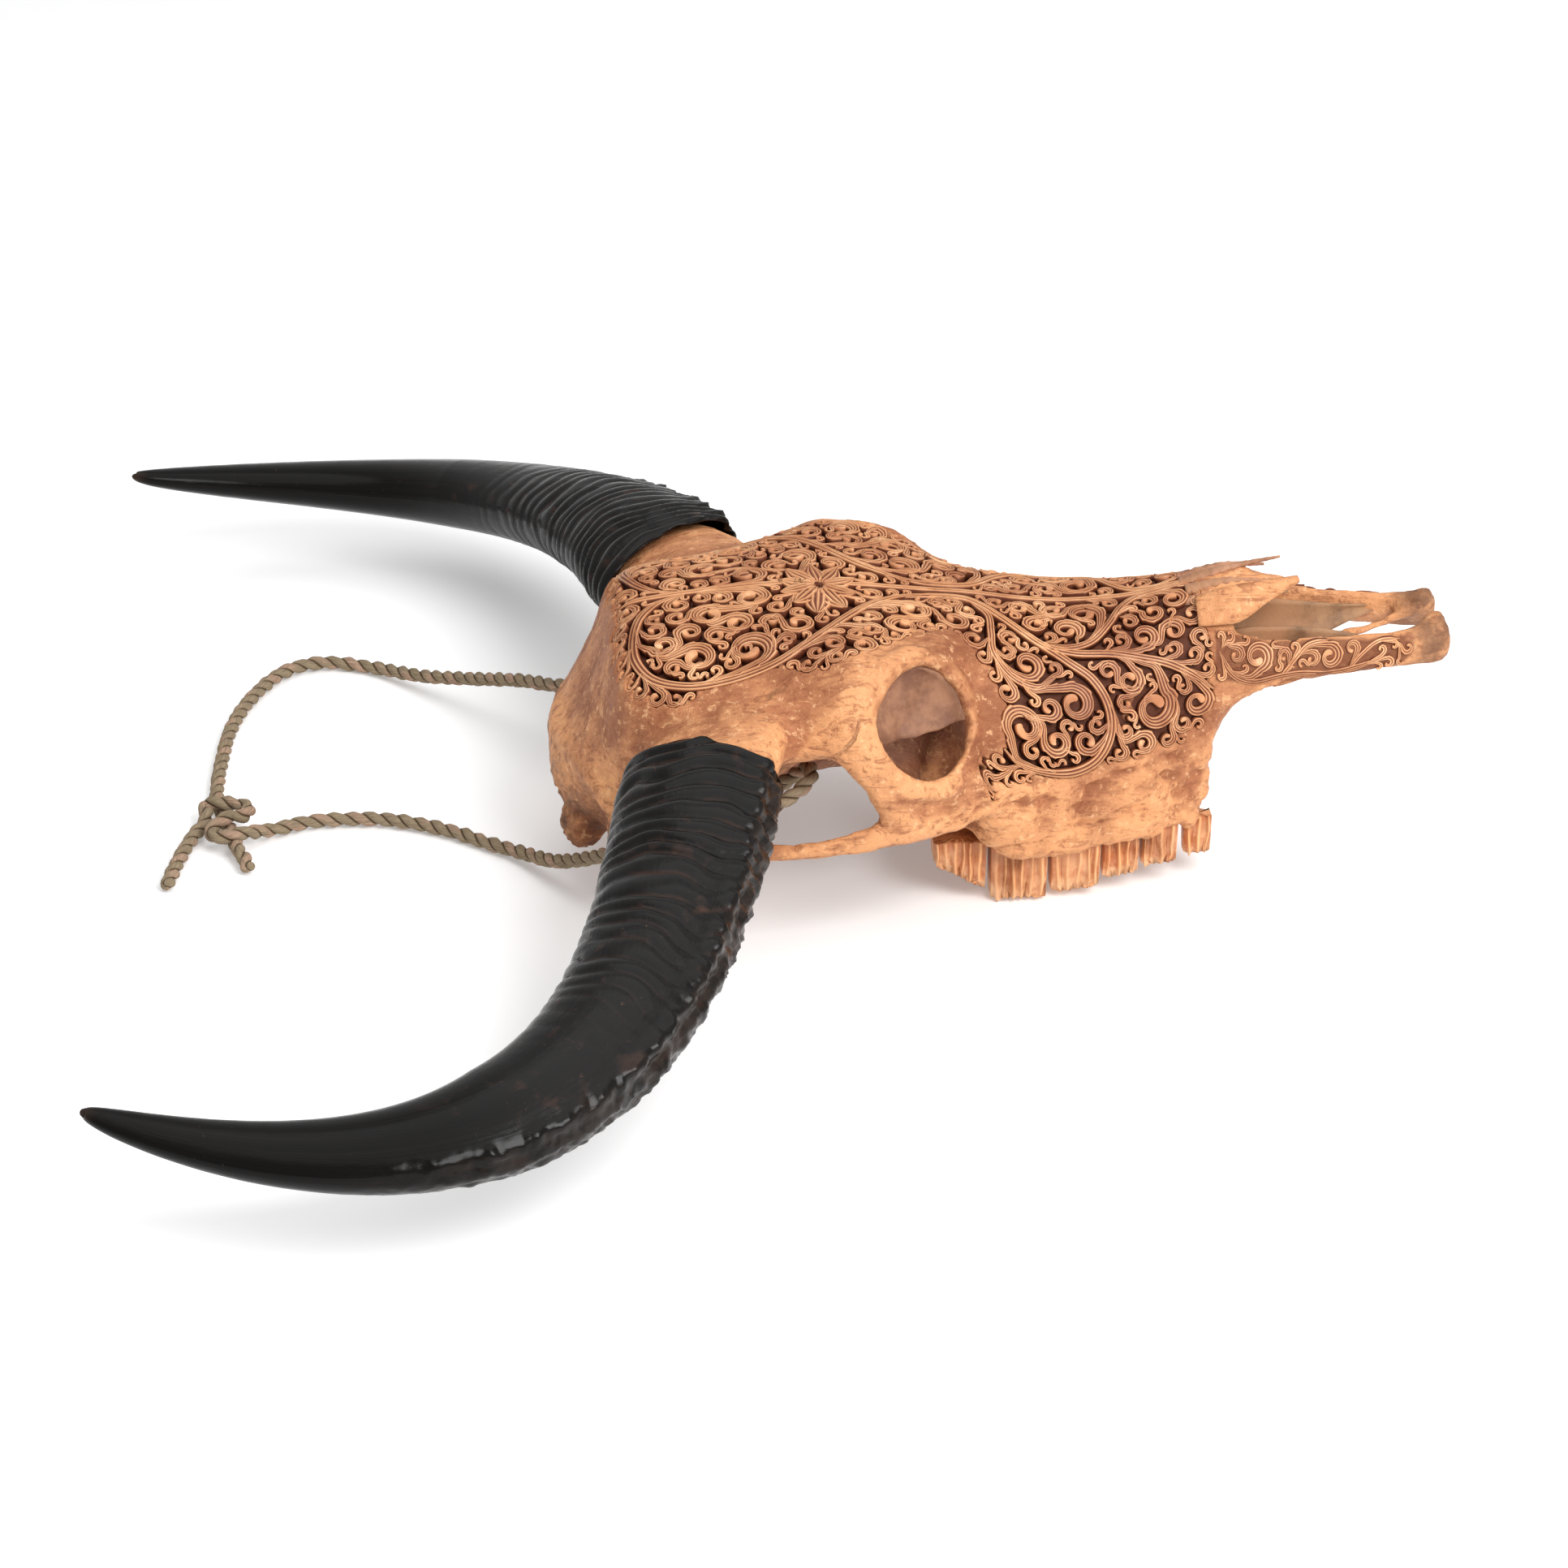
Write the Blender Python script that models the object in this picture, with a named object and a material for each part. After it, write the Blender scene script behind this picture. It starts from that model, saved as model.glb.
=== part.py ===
"""A carved water buffalo skull with two horn sheaths, twelve cheek teeth and a rope to hang it.

The skull lies face up on its teeth and on the two processes beside the condyles. +X runs to
the muzzle, +Y to the skull's left side and +Z up, in metres. The origin is on the surface
that it lies on, below the middle of its outline.
"""

import math

import bmesh
import bpy
from mathutils import Matrix, Vector

# Driving dimensions
ORBIT_CENTRE = Vector((0.0690, 0.0975, 0.1210))
ORBIT_FACING = Vector((0.44, 0.75, 0.49))
ORBIT_HALF_WIDTH = 0.033
ORBIT_HALF_HEIGHT = 0.0350
RIM_RADIUS = 0.006
SHEATH_WALL = 0.003
SHEATH_MOUTH = Vector((-0.044, 0.1305, 0.1145))
SHEATH_MOUTH_FACING = Vector((0.516, -0.857, 0.0))
CAVITY_END = 0.26
CORE_END = 0.20
RIDGE_HEIGHT = 0.0011
RIDGED_SHARE = 0.46
TOOTH_ROOT_Z = 0.0365
SOCKET_GAP = 0.0006
ROPE_DIAMETER = 0.008
ROPE_STEP = 2.2 * ROPE_DIAMETER
FACE_GAP = 0.0003
VOXEL = 0.0020
KEPT_FACES = 0.0186

BONE = (0.62, 0.33, 0.15)
HORN_BLACK = (0.018, 0.014, 0.012)
TOOTH_CREAM = (0.72, 0.45, 0.22)
ROPE_STRAW = (0.36, 0.29, 0.19)

# Each station is x, then half of a cross-section as y and z, from the middle of the forehead
# out over the side and back to the middle underneath. All have the same number of points.
STATIONS = (
    (-0.118, ((0, 0.078), (0.012, 0.0775), (0.021, 0.075), (0.027, 0.070), (0.028, 0.065),
              (0.026, 0.060), (0.020, 0.056), (0.013, 0.053), (0.006, 0.052), (0, 0.052))),
    (-0.105, ((0, 0.098), (0.020, 0.097), (0.038, 0.092), (0.048, 0.083), (0.050, 0.072),
              (0.046, 0.060), (0.036, 0.049), (0.024, 0.042), (0.012, 0.040), (0, 0.040))),
    (-0.092, ((0, 0.120), (0.028, 0.120), (0.052, 0.111), (0.065, 0.097), (0.067, 0.080),
              (0.061, 0.062), (0.048, 0.046), (0.032, 0.036), (0.016, 0.031), (0, 0.031))),
    (-0.082, ((0, 0.146), (0.034, 0.144), (0.062, 0.134), (0.078, 0.116), (0.080, 0.095),
              (0.074, 0.072), (0.060, 0.050), (0.042, 0.036), (0.020, 0.030), (0, 0.030))),
    (-0.060, ((0, 0.152), (0.040, 0.150), (0.074, 0.138), (0.092, 0.122), (0.088, 0.100),
              (0.072, 0.080), (0.058, 0.056), (0.042, 0.038), (0.022, 0.032), (0, 0.031))),
    (-0.025, ((0, 0.156), (0.042, 0.153), (0.080, 0.140), (0.104, 0.122), (0.098, 0.102),
              (0.060, 0.092), (0.055, 0.066), (0.040, 0.048), (0.020, 0.040), (0, 0.038))),
    (0.008, ((0, 0.158), (0.045, 0.156), (0.084, 0.148), (0.112, 0.126), (0.108, 0.106),
             (0.060, 0.106), (0.050, 0.084), (0.036, 0.066), (0.018, 0.054), (0, 0.052))),
    (0.035, ((0, 0.156), (0.048, 0.156), (0.088, 0.154), (0.116, 0.138), (0.114, 0.118),
             (0.060, 0.116), (0.046, 0.096), (0.034, 0.072), (0.018, 0.058), (0, 0.056))),
    (0.055, ((0, 0.154), (0.045, 0.155), (0.074, 0.153), (0.092, 0.148), (0.088, 0.140),
             (0.052, 0.134), (0.042, 0.104), (0.034, 0.076), (0.020, 0.060), (0, 0.057))),
    (0.080, ((0, 0.151), (0.040, 0.151), (0.064, 0.149), (0.074, 0.145), (0.070, 0.138),
             (0.050, 0.120), (0.044, 0.092), (0.046, 0.064), (0.034, 0.054), (0, 0.052))),
    (0.102, ((0, 0.149), (0.036, 0.146), (0.060, 0.136), (0.080, 0.116), (0.089, 0.088),
             (0.088, 0.060), (0.076, 0.037), (0.045, 0.035), (0.040, 0.052), (0, 0.056))),
    (0.140, ((0, 0.143), (0.030, 0.141), (0.054, 0.130), (0.070, 0.108), (0.079, 0.082),
             (0.080, 0.055), (0.0755, 0.031), (0.0455, 0.030), (0.039, 0.052), (0, 0.058))),
    (0.180, ((0, 0.143), (0.024, 0.142), (0.043, 0.132), (0.056, 0.113), (0.066, 0.088),
             (0.069, 0.058), (0.068, 0.031), (0.0425, 0.030), (0.035, 0.054), (0, 0.062))),
    (0.206, ((0, 0.148), (0.019, 0.146), (0.034, 0.137), (0.045, 0.120), (0.053, 0.098),
             (0.057, 0.068), (0.0595, 0.032), (0.0395, 0.032), (0.030, 0.058), (0, 0.069))),
    (0.222, ((0, 0.151), (0.017, 0.149), (0.030, 0.141), (0.040, 0.125), (0.046, 0.106),
             (0.049, 0.080), (0.052, 0.038), (0.0365, 0.038), (0.028, 0.068), (0, 0.078))),
    (0.229, ((0, 0.152), (0.016, 0.150), (0.029, 0.142), (0.038, 0.127), (0.043, 0.110),
             (0.044, 0.094), (0.041, 0.078), (0.032, 0.076), (0.025, 0.080), (0, 0.083))),
    (0.238, ((0, 0.153), (0.015, 0.151), (0.027, 0.143), (0.036, 0.129), (0.041, 0.114),
             (0.041, 0.102), (0.037, 0.092), (0.028, 0.090), (0.018, 0.090), (0, 0.090))),
)

# The horn's centre line on the left side, and its half width and half thickness along it
HORN_ROUTE = ((-0.039, 0.104, 0.109), (-0.077, 0.236, 0.103), (-0.068, 0.494, 0.005),
              (-0.344, 0.366, 0.069), (-0.346, 0.371, 0.072))
HORN_WIDE = (0.0445, 0.0375, 0.0310, 0.0170, 0.002)
HORN_THIN = (0.026, 0.025, 0.020, 0.011, 0.002)
HORN_TWIST = (19, -12, -6)

# Each tooth is its rear x, front x, outer y, width, rear and front bottom z, and ribs
TEETH = (
    (0.2125, 0.2280, 0.0510, 0.0125, 0.0120, 0.0130, 2),
    (0.1890, 0.2090, 0.0590, 0.0150, 0.0100, 0.0120, 3),
    (0.1680, 0.1880, 0.0645, 0.0180, 0.0060, 0.0095, 3),
    (0.1400, 0.1670, 0.0695, 0.0205, 0.0010, 0.0045, 4),
    (0.1080, 0.1390, 0.0715, 0.0215, 0.0000, 0.0000, 4),
    (0.0780, 0.1070, 0.0700, 0.0210, 0.0210, 0.0045, 4),
)

# The rope's two strands, from under the braincase to the knot behind the skull
NEAR_STRAND = ((-0.012, 0.000, 0.0375), (-0.012, -0.024, 0.0385), (-0.011, -0.049, 0.0540),
               (0.001, -0.065, 0.0740), (0.012, -0.078, 0.0880), (0.010, -0.092, 0.0860),
               (-0.012, -0.101, 0.0755), (-0.040, -0.100, 0.0700), (-0.068, -0.092, 0.0600),
               (-0.088, -0.078, 0.0440), (-0.102, -0.056, 0.0290), (-0.118, -0.030, 0.0150),
               (-0.135, -0.002, 0.0066), (-0.152, 0.014, 0.0046), (-0.169, 0.028, 0.0046),
               (-0.190, 0.040, 0.0046), (-0.212, 0.047, 0.0046), (-0.243, 0.047, 0.0046),
               (-0.264, 0.038, 0.0052))
FAR_STRAND = ((-0.012, 0.000, 0.0375), (-0.012, 0.024, 0.0385), (-0.011, 0.049, 0.0540),
              (0.001, 0.065, 0.0740), (0.012, 0.078, 0.0880), (0.010, 0.092, 0.0860),
              (-0.012, 0.101, 0.0755), (-0.040, 0.100, 0.0700), (-0.070, 0.099, 0.0620),
              (-0.103, 0.112, 0.0490), (-0.129, 0.146, 0.0370), (-0.156, 0.182, 0.0220),
              (-0.183, 0.212, 0.0106), (-0.210, 0.238, 0.0046), (-0.238, 0.247, 0.0046),
              (-0.261, 0.236, 0.0046), (-0.279, 0.203, 0.0046), (-0.290, 0.164, 0.0046),
              (-0.295, 0.118, 0.0046), (-0.2965, 0.088, 0.0046))
LONG_TAIL = ((-0.3035, 0.0440, 0.0055), (-0.3075, 0.0360, 0.0046), (-0.3124, 0.0196, 0.0045),
             (-0.3170, -0.0003, 0.0045), (-0.3211, -0.0219, 0.0045))
SHORT_TAIL = ((-0.2822, 0.0080, 0.0062), (-0.2800, 0.0030, 0.0050), (-0.2785, -0.0060, 0.0045))
KNOT_STRANDS = (
    ((-0.2652, 0.0374, 0.0053), (-0.2710, 0.0340, 0.0064), (-0.2820, 0.0240, 0.0105),
     (-0.2930, 0.0215, 0.0100), (-0.2985, 0.0280, 0.0090), (-0.2955, 0.0350, 0.0110),
     (-0.2880, 0.0400, 0.0130), (-0.2810, 0.0400, 0.0125)),
    ((-0.2966, 0.0868, 0.0047), (-0.2960, 0.0740, 0.0047), (-0.2920, 0.0540, 0.0048),
     (-0.2880, 0.0360, 0.0047), (-0.2848, 0.0180, 0.0056), (-0.2828, 0.0096, 0.0062)),
    ((-0.2790, 0.0290, 0.0090), (-0.2775, 0.0400, 0.0120), (-0.2800, 0.0500, 0.0130),
     (-0.2880, 0.0540, 0.0130), (-0.2970, 0.0570, 0.0125), (-0.3025, 0.0600, 0.0095),
     (-0.3008, 0.0520, 0.0082), (-0.3029, 0.0455, 0.0061)),
)


def clear_scene():
    for obj in list(bpy.data.objects):
        bpy.data.objects.remove(obj)


def finish_material(name, colour, roughness):
    made = bpy.data.materials.new(name)
    made.use_nodes = True
    shader = made.node_tree.nodes["Principled BSDF"]
    shader.inputs["Base Color"].default_value = (*colour, 1)
    shader.inputs["Roughness"].default_value = roughness
    shader.inputs["Metallic"].default_value = 0.0
    return made


def add_object(name, shape, material=None):
    mesh = bpy.data.meshes.new(name)
    shape.to_mesh(mesh)
    shape.free()
    obj = bpy.data.objects.new(name, mesh)
    bpy.context.scene.collection.objects.link(obj)
    if material is not None:
        mesh.materials.append(material)
    return obj


def add_cutter(name, shape):
    cutter = add_object(name, shape)
    cutter.hide_render = True
    cutter.display_type = "WIRE"
    return cutter


def add_boolean(target, other, operation):
    cut = target.modifiers.new(other.name, "BOOLEAN")
    cut.operation = operation
    cut.solver = "EXACT"
    cut.object = other


def smooth_through(points, count):
    """Points on a smooth curve through the given ones, count of them for each span."""
    ends = [2 * points[0] - points[1], *points, 2 * points[-1] - points[-2]]
    found = []
    for i in range(1, len(ends) - 2):
        a, b, c, d = ends[i - 1:i + 3]
        for k in range(count):
            t = k / count
            found.append(0.5 * ((2 * b) + (c - a) * t + (2 * a - 5 * b + 4 * c - d) * t * t
                                + (3 * b - a - 3 * c + d) * t ** 3))
    found.append(points[-1].copy())
    return found


def read_between(values, share):
    """The value at a share of the way along a list of evenly spaced values."""
    place = min(max(share, 0.0), 1.0) * (len(values) - 1)
    i = min(int(place), len(values) - 2)
    return values[i] + (values[i + 1] - values[i]) * (place - i)


def skin_rings(shape, rings):
    """Joins rings of points with faces and closes both ends."""
    loops = [[shape.verts.new(p) for p in ring] for ring in rings]
    for one, two in zip(loops, loops[1:]):
        for i in range(len(one)):
            j = (i + 1) % len(one)
            shape.faces.new((one[i], one[j], two[j], two[i]))
    shape.faces.new(reversed(loops[0]))
    shape.faces.new(loops[-1])
    bmesh.ops.recalc_face_normals(shape, faces=shape.faces)
    return shape


def sweep(route, sizes, side=(0, 1, 0), sides=12, steps=5):
    """A closed tube on a smooth route. Each size is its half width along side, and across it."""
    side = Vector(side)
    line = smooth_through([Vector(p) for p in route], steps)
    widths = smooth_through([Vector((*s, 0)) for s in sizes], steps)
    rings = []
    for i, point in enumerate(line):
        ahead = (line[min(i + 1, len(line) - 1)] - line[max(i - 1, 0)]).normalized()
        across = (side - side.dot(ahead) * ahead).normalized()
        up = ahead.cross(across)
        turns = [2 * math.pi * k / sides for k in range(sides)]
        rings.append([point + across * math.cos(a) * max(widths[i].x, 0.0006)
                      + up * math.sin(a) * max(widths[i].y, 0.0006) for a in turns])
    return skin_rings(bmesh.new(), rings)


def mirrored(shape):
    """A copy of the shape on the other side of the midline."""
    other = shape.copy()
    for vert in other.verts:
        vert.co.y = -vert.co.y
    bmesh.ops.reverse_faces(other, faces=other.faces)
    return other


def both_sides(shapes):
    return [*shapes, *(mirrored(shape) for shape in shapes)]


def joined(shapes):
    whole = bmesh.new()
    for shape in shapes:
        mesh = bpy.data.meshes.new("piece")
        shape.to_mesh(mesh)
        shape.free()
        whole.from_mesh(mesh)
        bpy.data.meshes.remove(mesh)
    return whole


def ball(centre, radii):
    shape = bmesh.new()
    bmesh.ops.create_uvsphere(shape, u_segments=20, v_segments=12, radius=1.0)
    bmesh.ops.scale(shape, vec=radii, verts=shape.verts)
    bmesh.ops.translate(shape, vec=centre, verts=shape.verts)
    return shape


def head_body():
    """The braincase, forehead and face, lofted through the stations."""
    columns = []
    for k in range(len(STATIONS[0][1])):
        points = [Vector((x, *half[k])) for x, half in STATIONS]
        columns.append(smooth_through(points, 4))
    rings = []
    for i in range(len(columns[0])):
        half = smooth_through([column[i] for column in columns], 4)
        other = [Vector((p.x, -p.y, p.z)) for p in reversed(half[1:-1])]
        rings.append(half + other)
    return skin_rings(bmesh.new(), rings)


def nose_cavity():
    """The hollow of the nose, open at the front, that leaves walls and a roof of thin bone."""
    sections = ((0.150, 0.4, 0.5), (0.175, 0.82, 0.80), (0.206, 0.86, 0.86), (0.229, 0.88, 0.87),
                (0.260, 0.90, 0.90))
    rings = []
    for x, wide, tall in sections:
        share = [s[0] for s in STATIONS]
        i = max(k for k in range(len(share)) if share[k] <= x or k == 0)
        half = STATIONS[min(i, len(STATIONS) - 1)][1]
        top, low = half[0][1], max(half[-1][1], 0.062)
        middle = (top + low) / 2
        outer = [(y, z) for y, z in half if z >= low - 0.001] + [(0, low)]
        ring = [Vector((x, y * wide, middle + (z - middle) * tall)) for y, z in outer]
        ring = [p for k, p in enumerate(ring) if k == 0 or (p - ring[k - 1]).length > 1e-6]
        rings.append(even_ring(ring + [Vector((x, -p.y, p.z)) for p in reversed(ring[1:-1])], 24))
    return skin_rings(bmesh.new(), rings)


def even_ring(ring, count):
    """The same closed outline with its points spaced evenly along it."""
    closed = ring + [ring[0]]
    lengths = [0.0]
    for one, two in zip(closed, closed[1:]):
        lengths.append(lengths[-1] + (two - one).length)
    found = []
    for k in range(count):
        wanted = lengths[-1] * k / count
        i = max(j for j in range(len(ring)) if lengths[j] <= wanted + 1e-9)
        span = lengths[i + 1] - lengths[i]
        found.append(closed[i].lerp(closed[i + 1], (wanted - lengths[i]) / span))
    return found


def nasal_roof():
    """The two nasal bones, one curved plate that narrows to a broken point."""
    sections = ((0.222, 0.030, 0.1510, 0.1400), (0.236, 0.030, 0.1525, 0.1385),
                (0.244, 0.026, 0.1530, 0.1410), (0.254, 0.018, 0.1525, 0.1455),
                (0.266, 0.009, 0.1515, 0.1490), (0.277, 0.003, 0.1505, 0.1500))
    thick = 0.0040
    steps = [k / 4 for k in range(-4, 5)]
    rings = []
    for x, wide, middle, edge in sections:
        outer = [Vector((x, wide * s, middle - (middle - edge) * s * s)) for s in steps]
        inner = [Vector((x, p.y * 0.94, p.z - thick)) for p in reversed(outer)]
        rings.append(outer + inner)
    return skin_rings(bmesh.new(), rings)


def splinters():
    """Slivers that stand up from the broken end of the nasal bones."""
    return [
        sweep(((0.222, 0.003, 0.1500), (0.245, 0.003, 0.1570), (0.2665, 0.001, 0.1622)),
              ((0.0032, 0.0016), (0.0024, 0.0011), (0.0007, 0.0005)), sides=6, steps=2),
        sweep(((0.220, 0.012, 0.1470), (0.238, 0.012, 0.1535), (0.2570, 0.010, 0.1560)),
              ((0.0036, 0.0016), (0.0028, 0.0012), (0.0008, 0.0005)), sides=6, steps=2),
        sweep(((0.222, -0.007, 0.1490), (0.240, -0.006, 0.1545), (0.2600, -0.004, 0.1550)),
              ((0.0034, 0.0016), (0.0028, 0.0012), (0.0008, 0.0005)), sides=6, steps=2),
    ]


def orbit_rim():
    """The raised ring of bone round the left eye socket."""
    facing = ORBIT_FACING.normalized()
    flat = Vector((0, 0, 1)).cross(facing).normalized()
    upright = facing.cross(flat)
    shape = bmesh.new()
    loops = []
    for k in range(28):
        turn = 2 * math.pi * k / 28
        out = flat * math.cos(turn) * ORBIT_HALF_WIDTH + upright * math.sin(turn) * ORBIT_HALF_HEIGHT
        way = out.normalized()
        round_it = [2 * math.pi * i / 8 for i in range(8)]
        loops.append([shape.verts.new(ORBIT_CENTRE + out + way * math.cos(a) * RIM_RADIUS
                                      + facing * math.sin(a) * RIM_RADIUS) for a in round_it])
    for k, one in enumerate(loops):
        two = loops[(k + 1) % len(loops)]
        for i in range(8):
            j = (i + 1) % 8
            shape.faces.new((one[i], one[j], two[j], two[i]))
    bmesh.ops.recalc_face_normals(shape, faces=shape.faces)
    return shape


def cheek_arch():
    return sweep(((0.116, 0.078, 0.080), (0.092, 0.098, 0.076), (0.062, 0.112, 0.0690),
                  (0.022, 0.116, 0.0610), (-0.016, 0.111, 0.0575), (-0.046, 0.092, 0.0565),
                  (-0.066, 0.070, 0.0600)),
                 ((0.010, 0.015), (0.0065, 0.0145), (0.0055, 0.0105), (0.005, 0.0062),
                  (0.0052, 0.0060), (0.0075, 0.0075), (0.014, 0.015)))


def post_orbital_bar():
    return sweep(((0.026, 0.108, 0.134), (0.034, 0.115, 0.116), (0.045, 0.117, 0.098),
                  (0.055, 0.115, 0.080), (0.066, 0.109, 0.066)),
                 ((0.008, 0.017), (0.0065, 0.014), (0.006, 0.0095), (0.006, 0.0105),
                  (0.006, 0.013)))


def muzzle_bar():
    """The outer wall of the left premaxilla, which leans in towards its upper edge."""
    return sweep(((0.200, 0.043, 0.112), (0.232, 0.0385, 0.116), (0.250, 0.0375, 0.1185),
                  (0.270, 0.0355, 0.1195), (0.296, 0.0315, 0.1190), (0.328, 0.0255, 0.1185),
                  (0.346, 0.0210, 0.1195), (0.355, 0.0190, 0.1190)),
                 ((0.006, 0.026), (0.0048, 0.0220), (0.0042, 0.0165), (0.0040, 0.0135),
                  (0.0042, 0.0128), (0.0050, 0.0120), (0.0070, 0.0122), (0.0062, 0.0095)),
                 side=(0, 1, 0.22))


def side_pieces():
    """What the left side adds to the body. The right side has the same, mirrored."""
    condyle = ball((-0.102, 0.021, 0.034), (0.013, 0.014, 0.017))
    process = sweep(((-0.074, 0.058, 0.052), (-0.081, 0.055, 0.032), (-0.0850, 0.050, 0.014),
                     (-0.0855, 0.048, -0.004)),
                    ((0.014, 0.016), (0.009, 0.012), (0.007, 0.009), (0.0055, 0.006)))
    bulla = ball((-0.046, 0.044, 0.036), (0.019, 0.012, 0.011))
    pterygoid = sweep(((0.068, 0.024, 0.062), (0.066, 0.022, 0.050), (0.062, 0.021, 0.040)),
                      ((0.0045, 0.014), (0.004, 0.010), (0.004, 0.006)))
    socket_wall = sweep(((0.100, 0.052, 0.118), (0.090, 0.048, 0.088), (0.084, 0.056, 0.058)),
                        ((0.016, 0.012), (0.014, 0.014), (0.018, 0.014)))
    crest = sweep(((-0.1125, 0.000, 0.084), (-0.1060, 0.034, 0.083), (-0.0960, 0.058, 0.076),
                   (-0.0860, 0.069, 0.060), (-0.0800, 0.064, 0.044)),
                  ((0.004, 0.006), (0.005, 0.007), (0.006, 0.007), (0.006, 0.007), (0.006, 0.006)),
                  side=(0, 0, 1))
    ledge = ball((0.086, 0.058, 0.052), (0.018, 0.016, 0.010))
    palate_floor = sweep(((0.218, 0.016, 0.080), (0.240, 0.016, 0.0925), (0.262, 0.016, 0.1015),
                          (0.284, 0.0165, 0.1080)),
                         ((0.017, 0.0034), (0.017, 0.0034), (0.0165, 0.0032), (0.0150, 0.0030)))
    palate_rod = sweep(((0.228, 0.018, 0.088), (0.255, 0.014, 0.099), (0.290, 0.008, 0.110),
                        (0.318, 0.008, 0.116), (0.336, 0.011, 0.1215), (0.348, 0.016, 0.124)),
                       ((0.011, 0.0036), (0.009, 0.0034), (0.0050, 0.0034), (0.0040, 0.0034),
                        (0.0042, 0.0040), (0.0060, 0.0060)))
    tip_lump = ball((0.3475, 0.0150, 0.1305), (0.0065, 0.0070, 0.0060))
    return [cheek_arch(), post_orbital_bar(), horn_core(), condyle, process, bulla, pterygoid,
            socket_wall, crest, ledge, palate_floor, muzzle_bar(), palate_rod, tip_lump, orbit_rim()]


def horn_point(s):
    """A point on the left horn's centre line, a Bezier curve."""
    points = [Vector(p) for p in HORN_ROUTE]
    last = len(points) - 1
    return sum((math.comb(last, i) * (1 - s) ** (last - i) * s ** i * p
                for i, p in enumerate(points)), Vector((0, 0, 0)))


def horn_ring(s, wide, thin, sides, shift=0.0):
    """An outline across the left horn. It starts at the front edge and goes over the top."""
    ahead = (horn_point(s + 0.001) - horn_point(s - 0.001)).normalized()
    ahead.y = -ahead.y
    flat = Vector((0, 0, 1)).cross(ahead).normalized()
    over = ahead.cross(flat)
    twist = math.radians(read_between(HORN_TWIST, s))
    front = flat * math.cos(twist) + over * math.sin(twist)
    top = over * math.cos(twist) - flat * math.sin(twist)
    centre = horn_point(s)
    ring = []
    for k in range(sides):
        a = 2 * math.pi * k / sides
        corner = 1 + 0.07 * math.exp(-((math.degrees(a) - 20) / 22) ** 2)
        offset = front * (math.cos(a) * wide * corner + shift) + top * math.sin(a) * thin * corner
        ring.append(centre + Vector((offset.x, -offset.y, offset.z)))
    return ring


def horn_core():
    """The bony core of the left horn, which its sheath fits over loosely."""
    stops = ((-0.100, 0.046, 0.031), (-0.050, 0.043, 0.026), (0.0, 0.0395, 0.0215),
             (0.05, 0.0365, 0.0200), (0.10, 0.0325, 0.0185), (0.15, 0.0250, 0.0150),
             (CORE_END, 0.0090, 0.0060))
    return skin_rings(bmesh.new(), [horn_ring(s, wide, thin, 16, 0.001) for s, wide, thin in stops])


def build_skull(material):
    grown = joined([head_body(), nasal_roof(), *both_sides(side_pieces())])
    skull = add_object("skull", grown, material)
    grow = skull.modifiers.new("grown together", "REMESH")
    grow.mode = "VOXEL"
    grow.voxel_size = VOXEL
    even = skull.modifiers.new("blended", "SMOOTH")
    even.factor = 0.5
    even.iterations = 5
    fewer = skull.modifiers.new("fewer faces", "DECIMATE")
    fewer.ratio = KEPT_FACES
    add_boolean(skull, add_cutter("nose cutter", nose_cavity()), "DIFFERENCE")
    hole = ball((-0.116, 0, 0.042), (0.026, 0.015, 0.013))
    add_boolean(skull, add_cutter("spine opening cutter", hole), "DIFFERENCE")
    add_boolean(skull, add_cutter("socket cutter", joined(both_sides(tooth_grooves()))), "DIFFERENCE")
    add_boolean(skull, add_cutter("floor cutter", floor_block()), "DIFFERENCE")
    for i, sliver in enumerate(splinters()):
        add_boolean(skull, add_cutter("sliver " + str(i + 1), sliver), "UNION")
    return skull


def horn_sheath(name, side, material):
    """The black horn itself: ridged near its open end, smooth and curved to its point."""
    rings = []
    ridged = 40
    for k in range(ridged + 1):
        s = -0.09 + (RIDGED_SHARE + 0.09) * k / ridged
        wave = RIDGE_HEIGHT * (1 if k % 2 else -1) * (1 - 0.75 * max(s, 0) / RIDGED_SHARE)
        wide = read_between(HORN_WIDE, s) + wave
        thin = read_between(HORN_THIN, s) + wave
        rings.append(horn_ring(s, wide, thin, 12))
    for k in range(1, 13):
        s = RIDGED_SHARE + (1 - RIDGED_SHARE) * k / 12
        rings.append(horn_ring(s, read_between(HORN_WIDE, s), read_between(HORN_THIN, s), 12))
    hollow = []
    for k in range(9):
        s = -0.12 + (CAVITY_END + 0.12) * k / 8
        closing = 1.0 if k < 6 else (0.88, 0.66, 0.25)[k - 6]
        wide = (read_between(HORN_WIDE, s) - SHEATH_WALL) * closing
        thin = (read_between(HORN_THIN, s) - SHEATH_WALL) * closing
        hollow.append(horn_ring(s, wide, thin, 16))
    outer, inner = skin_rings(bmesh.new(), rings), skin_rings(bmesh.new(), hollow)
    block = bmesh.new()
    bmesh.ops.create_cube(block, size=0.24)
    turn = SHEATH_MOUTH_FACING.to_track_quat("Z", "Y").to_matrix().to_4x4()
    middle = SHEATH_MOUTH + SHEATH_MOUTH_FACING.normalized() * 0.12
    bmesh.ops.transform(block, matrix=Matrix.Translation(middle) @ turn, verts=block.verts)
    if side < 0:
        outer, inner, block = mirrored(outer), mirrored(inner), mirrored(block)
    sheath = add_object(name, outer, material)
    add_boolean(sheath, add_cutter(name + " hollow cutter", inner), "DIFFERENCE")
    add_boolean(sheath, add_cutter(name + " mouth cutter", block), "DIFFERENCE")
    return sheath


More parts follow.
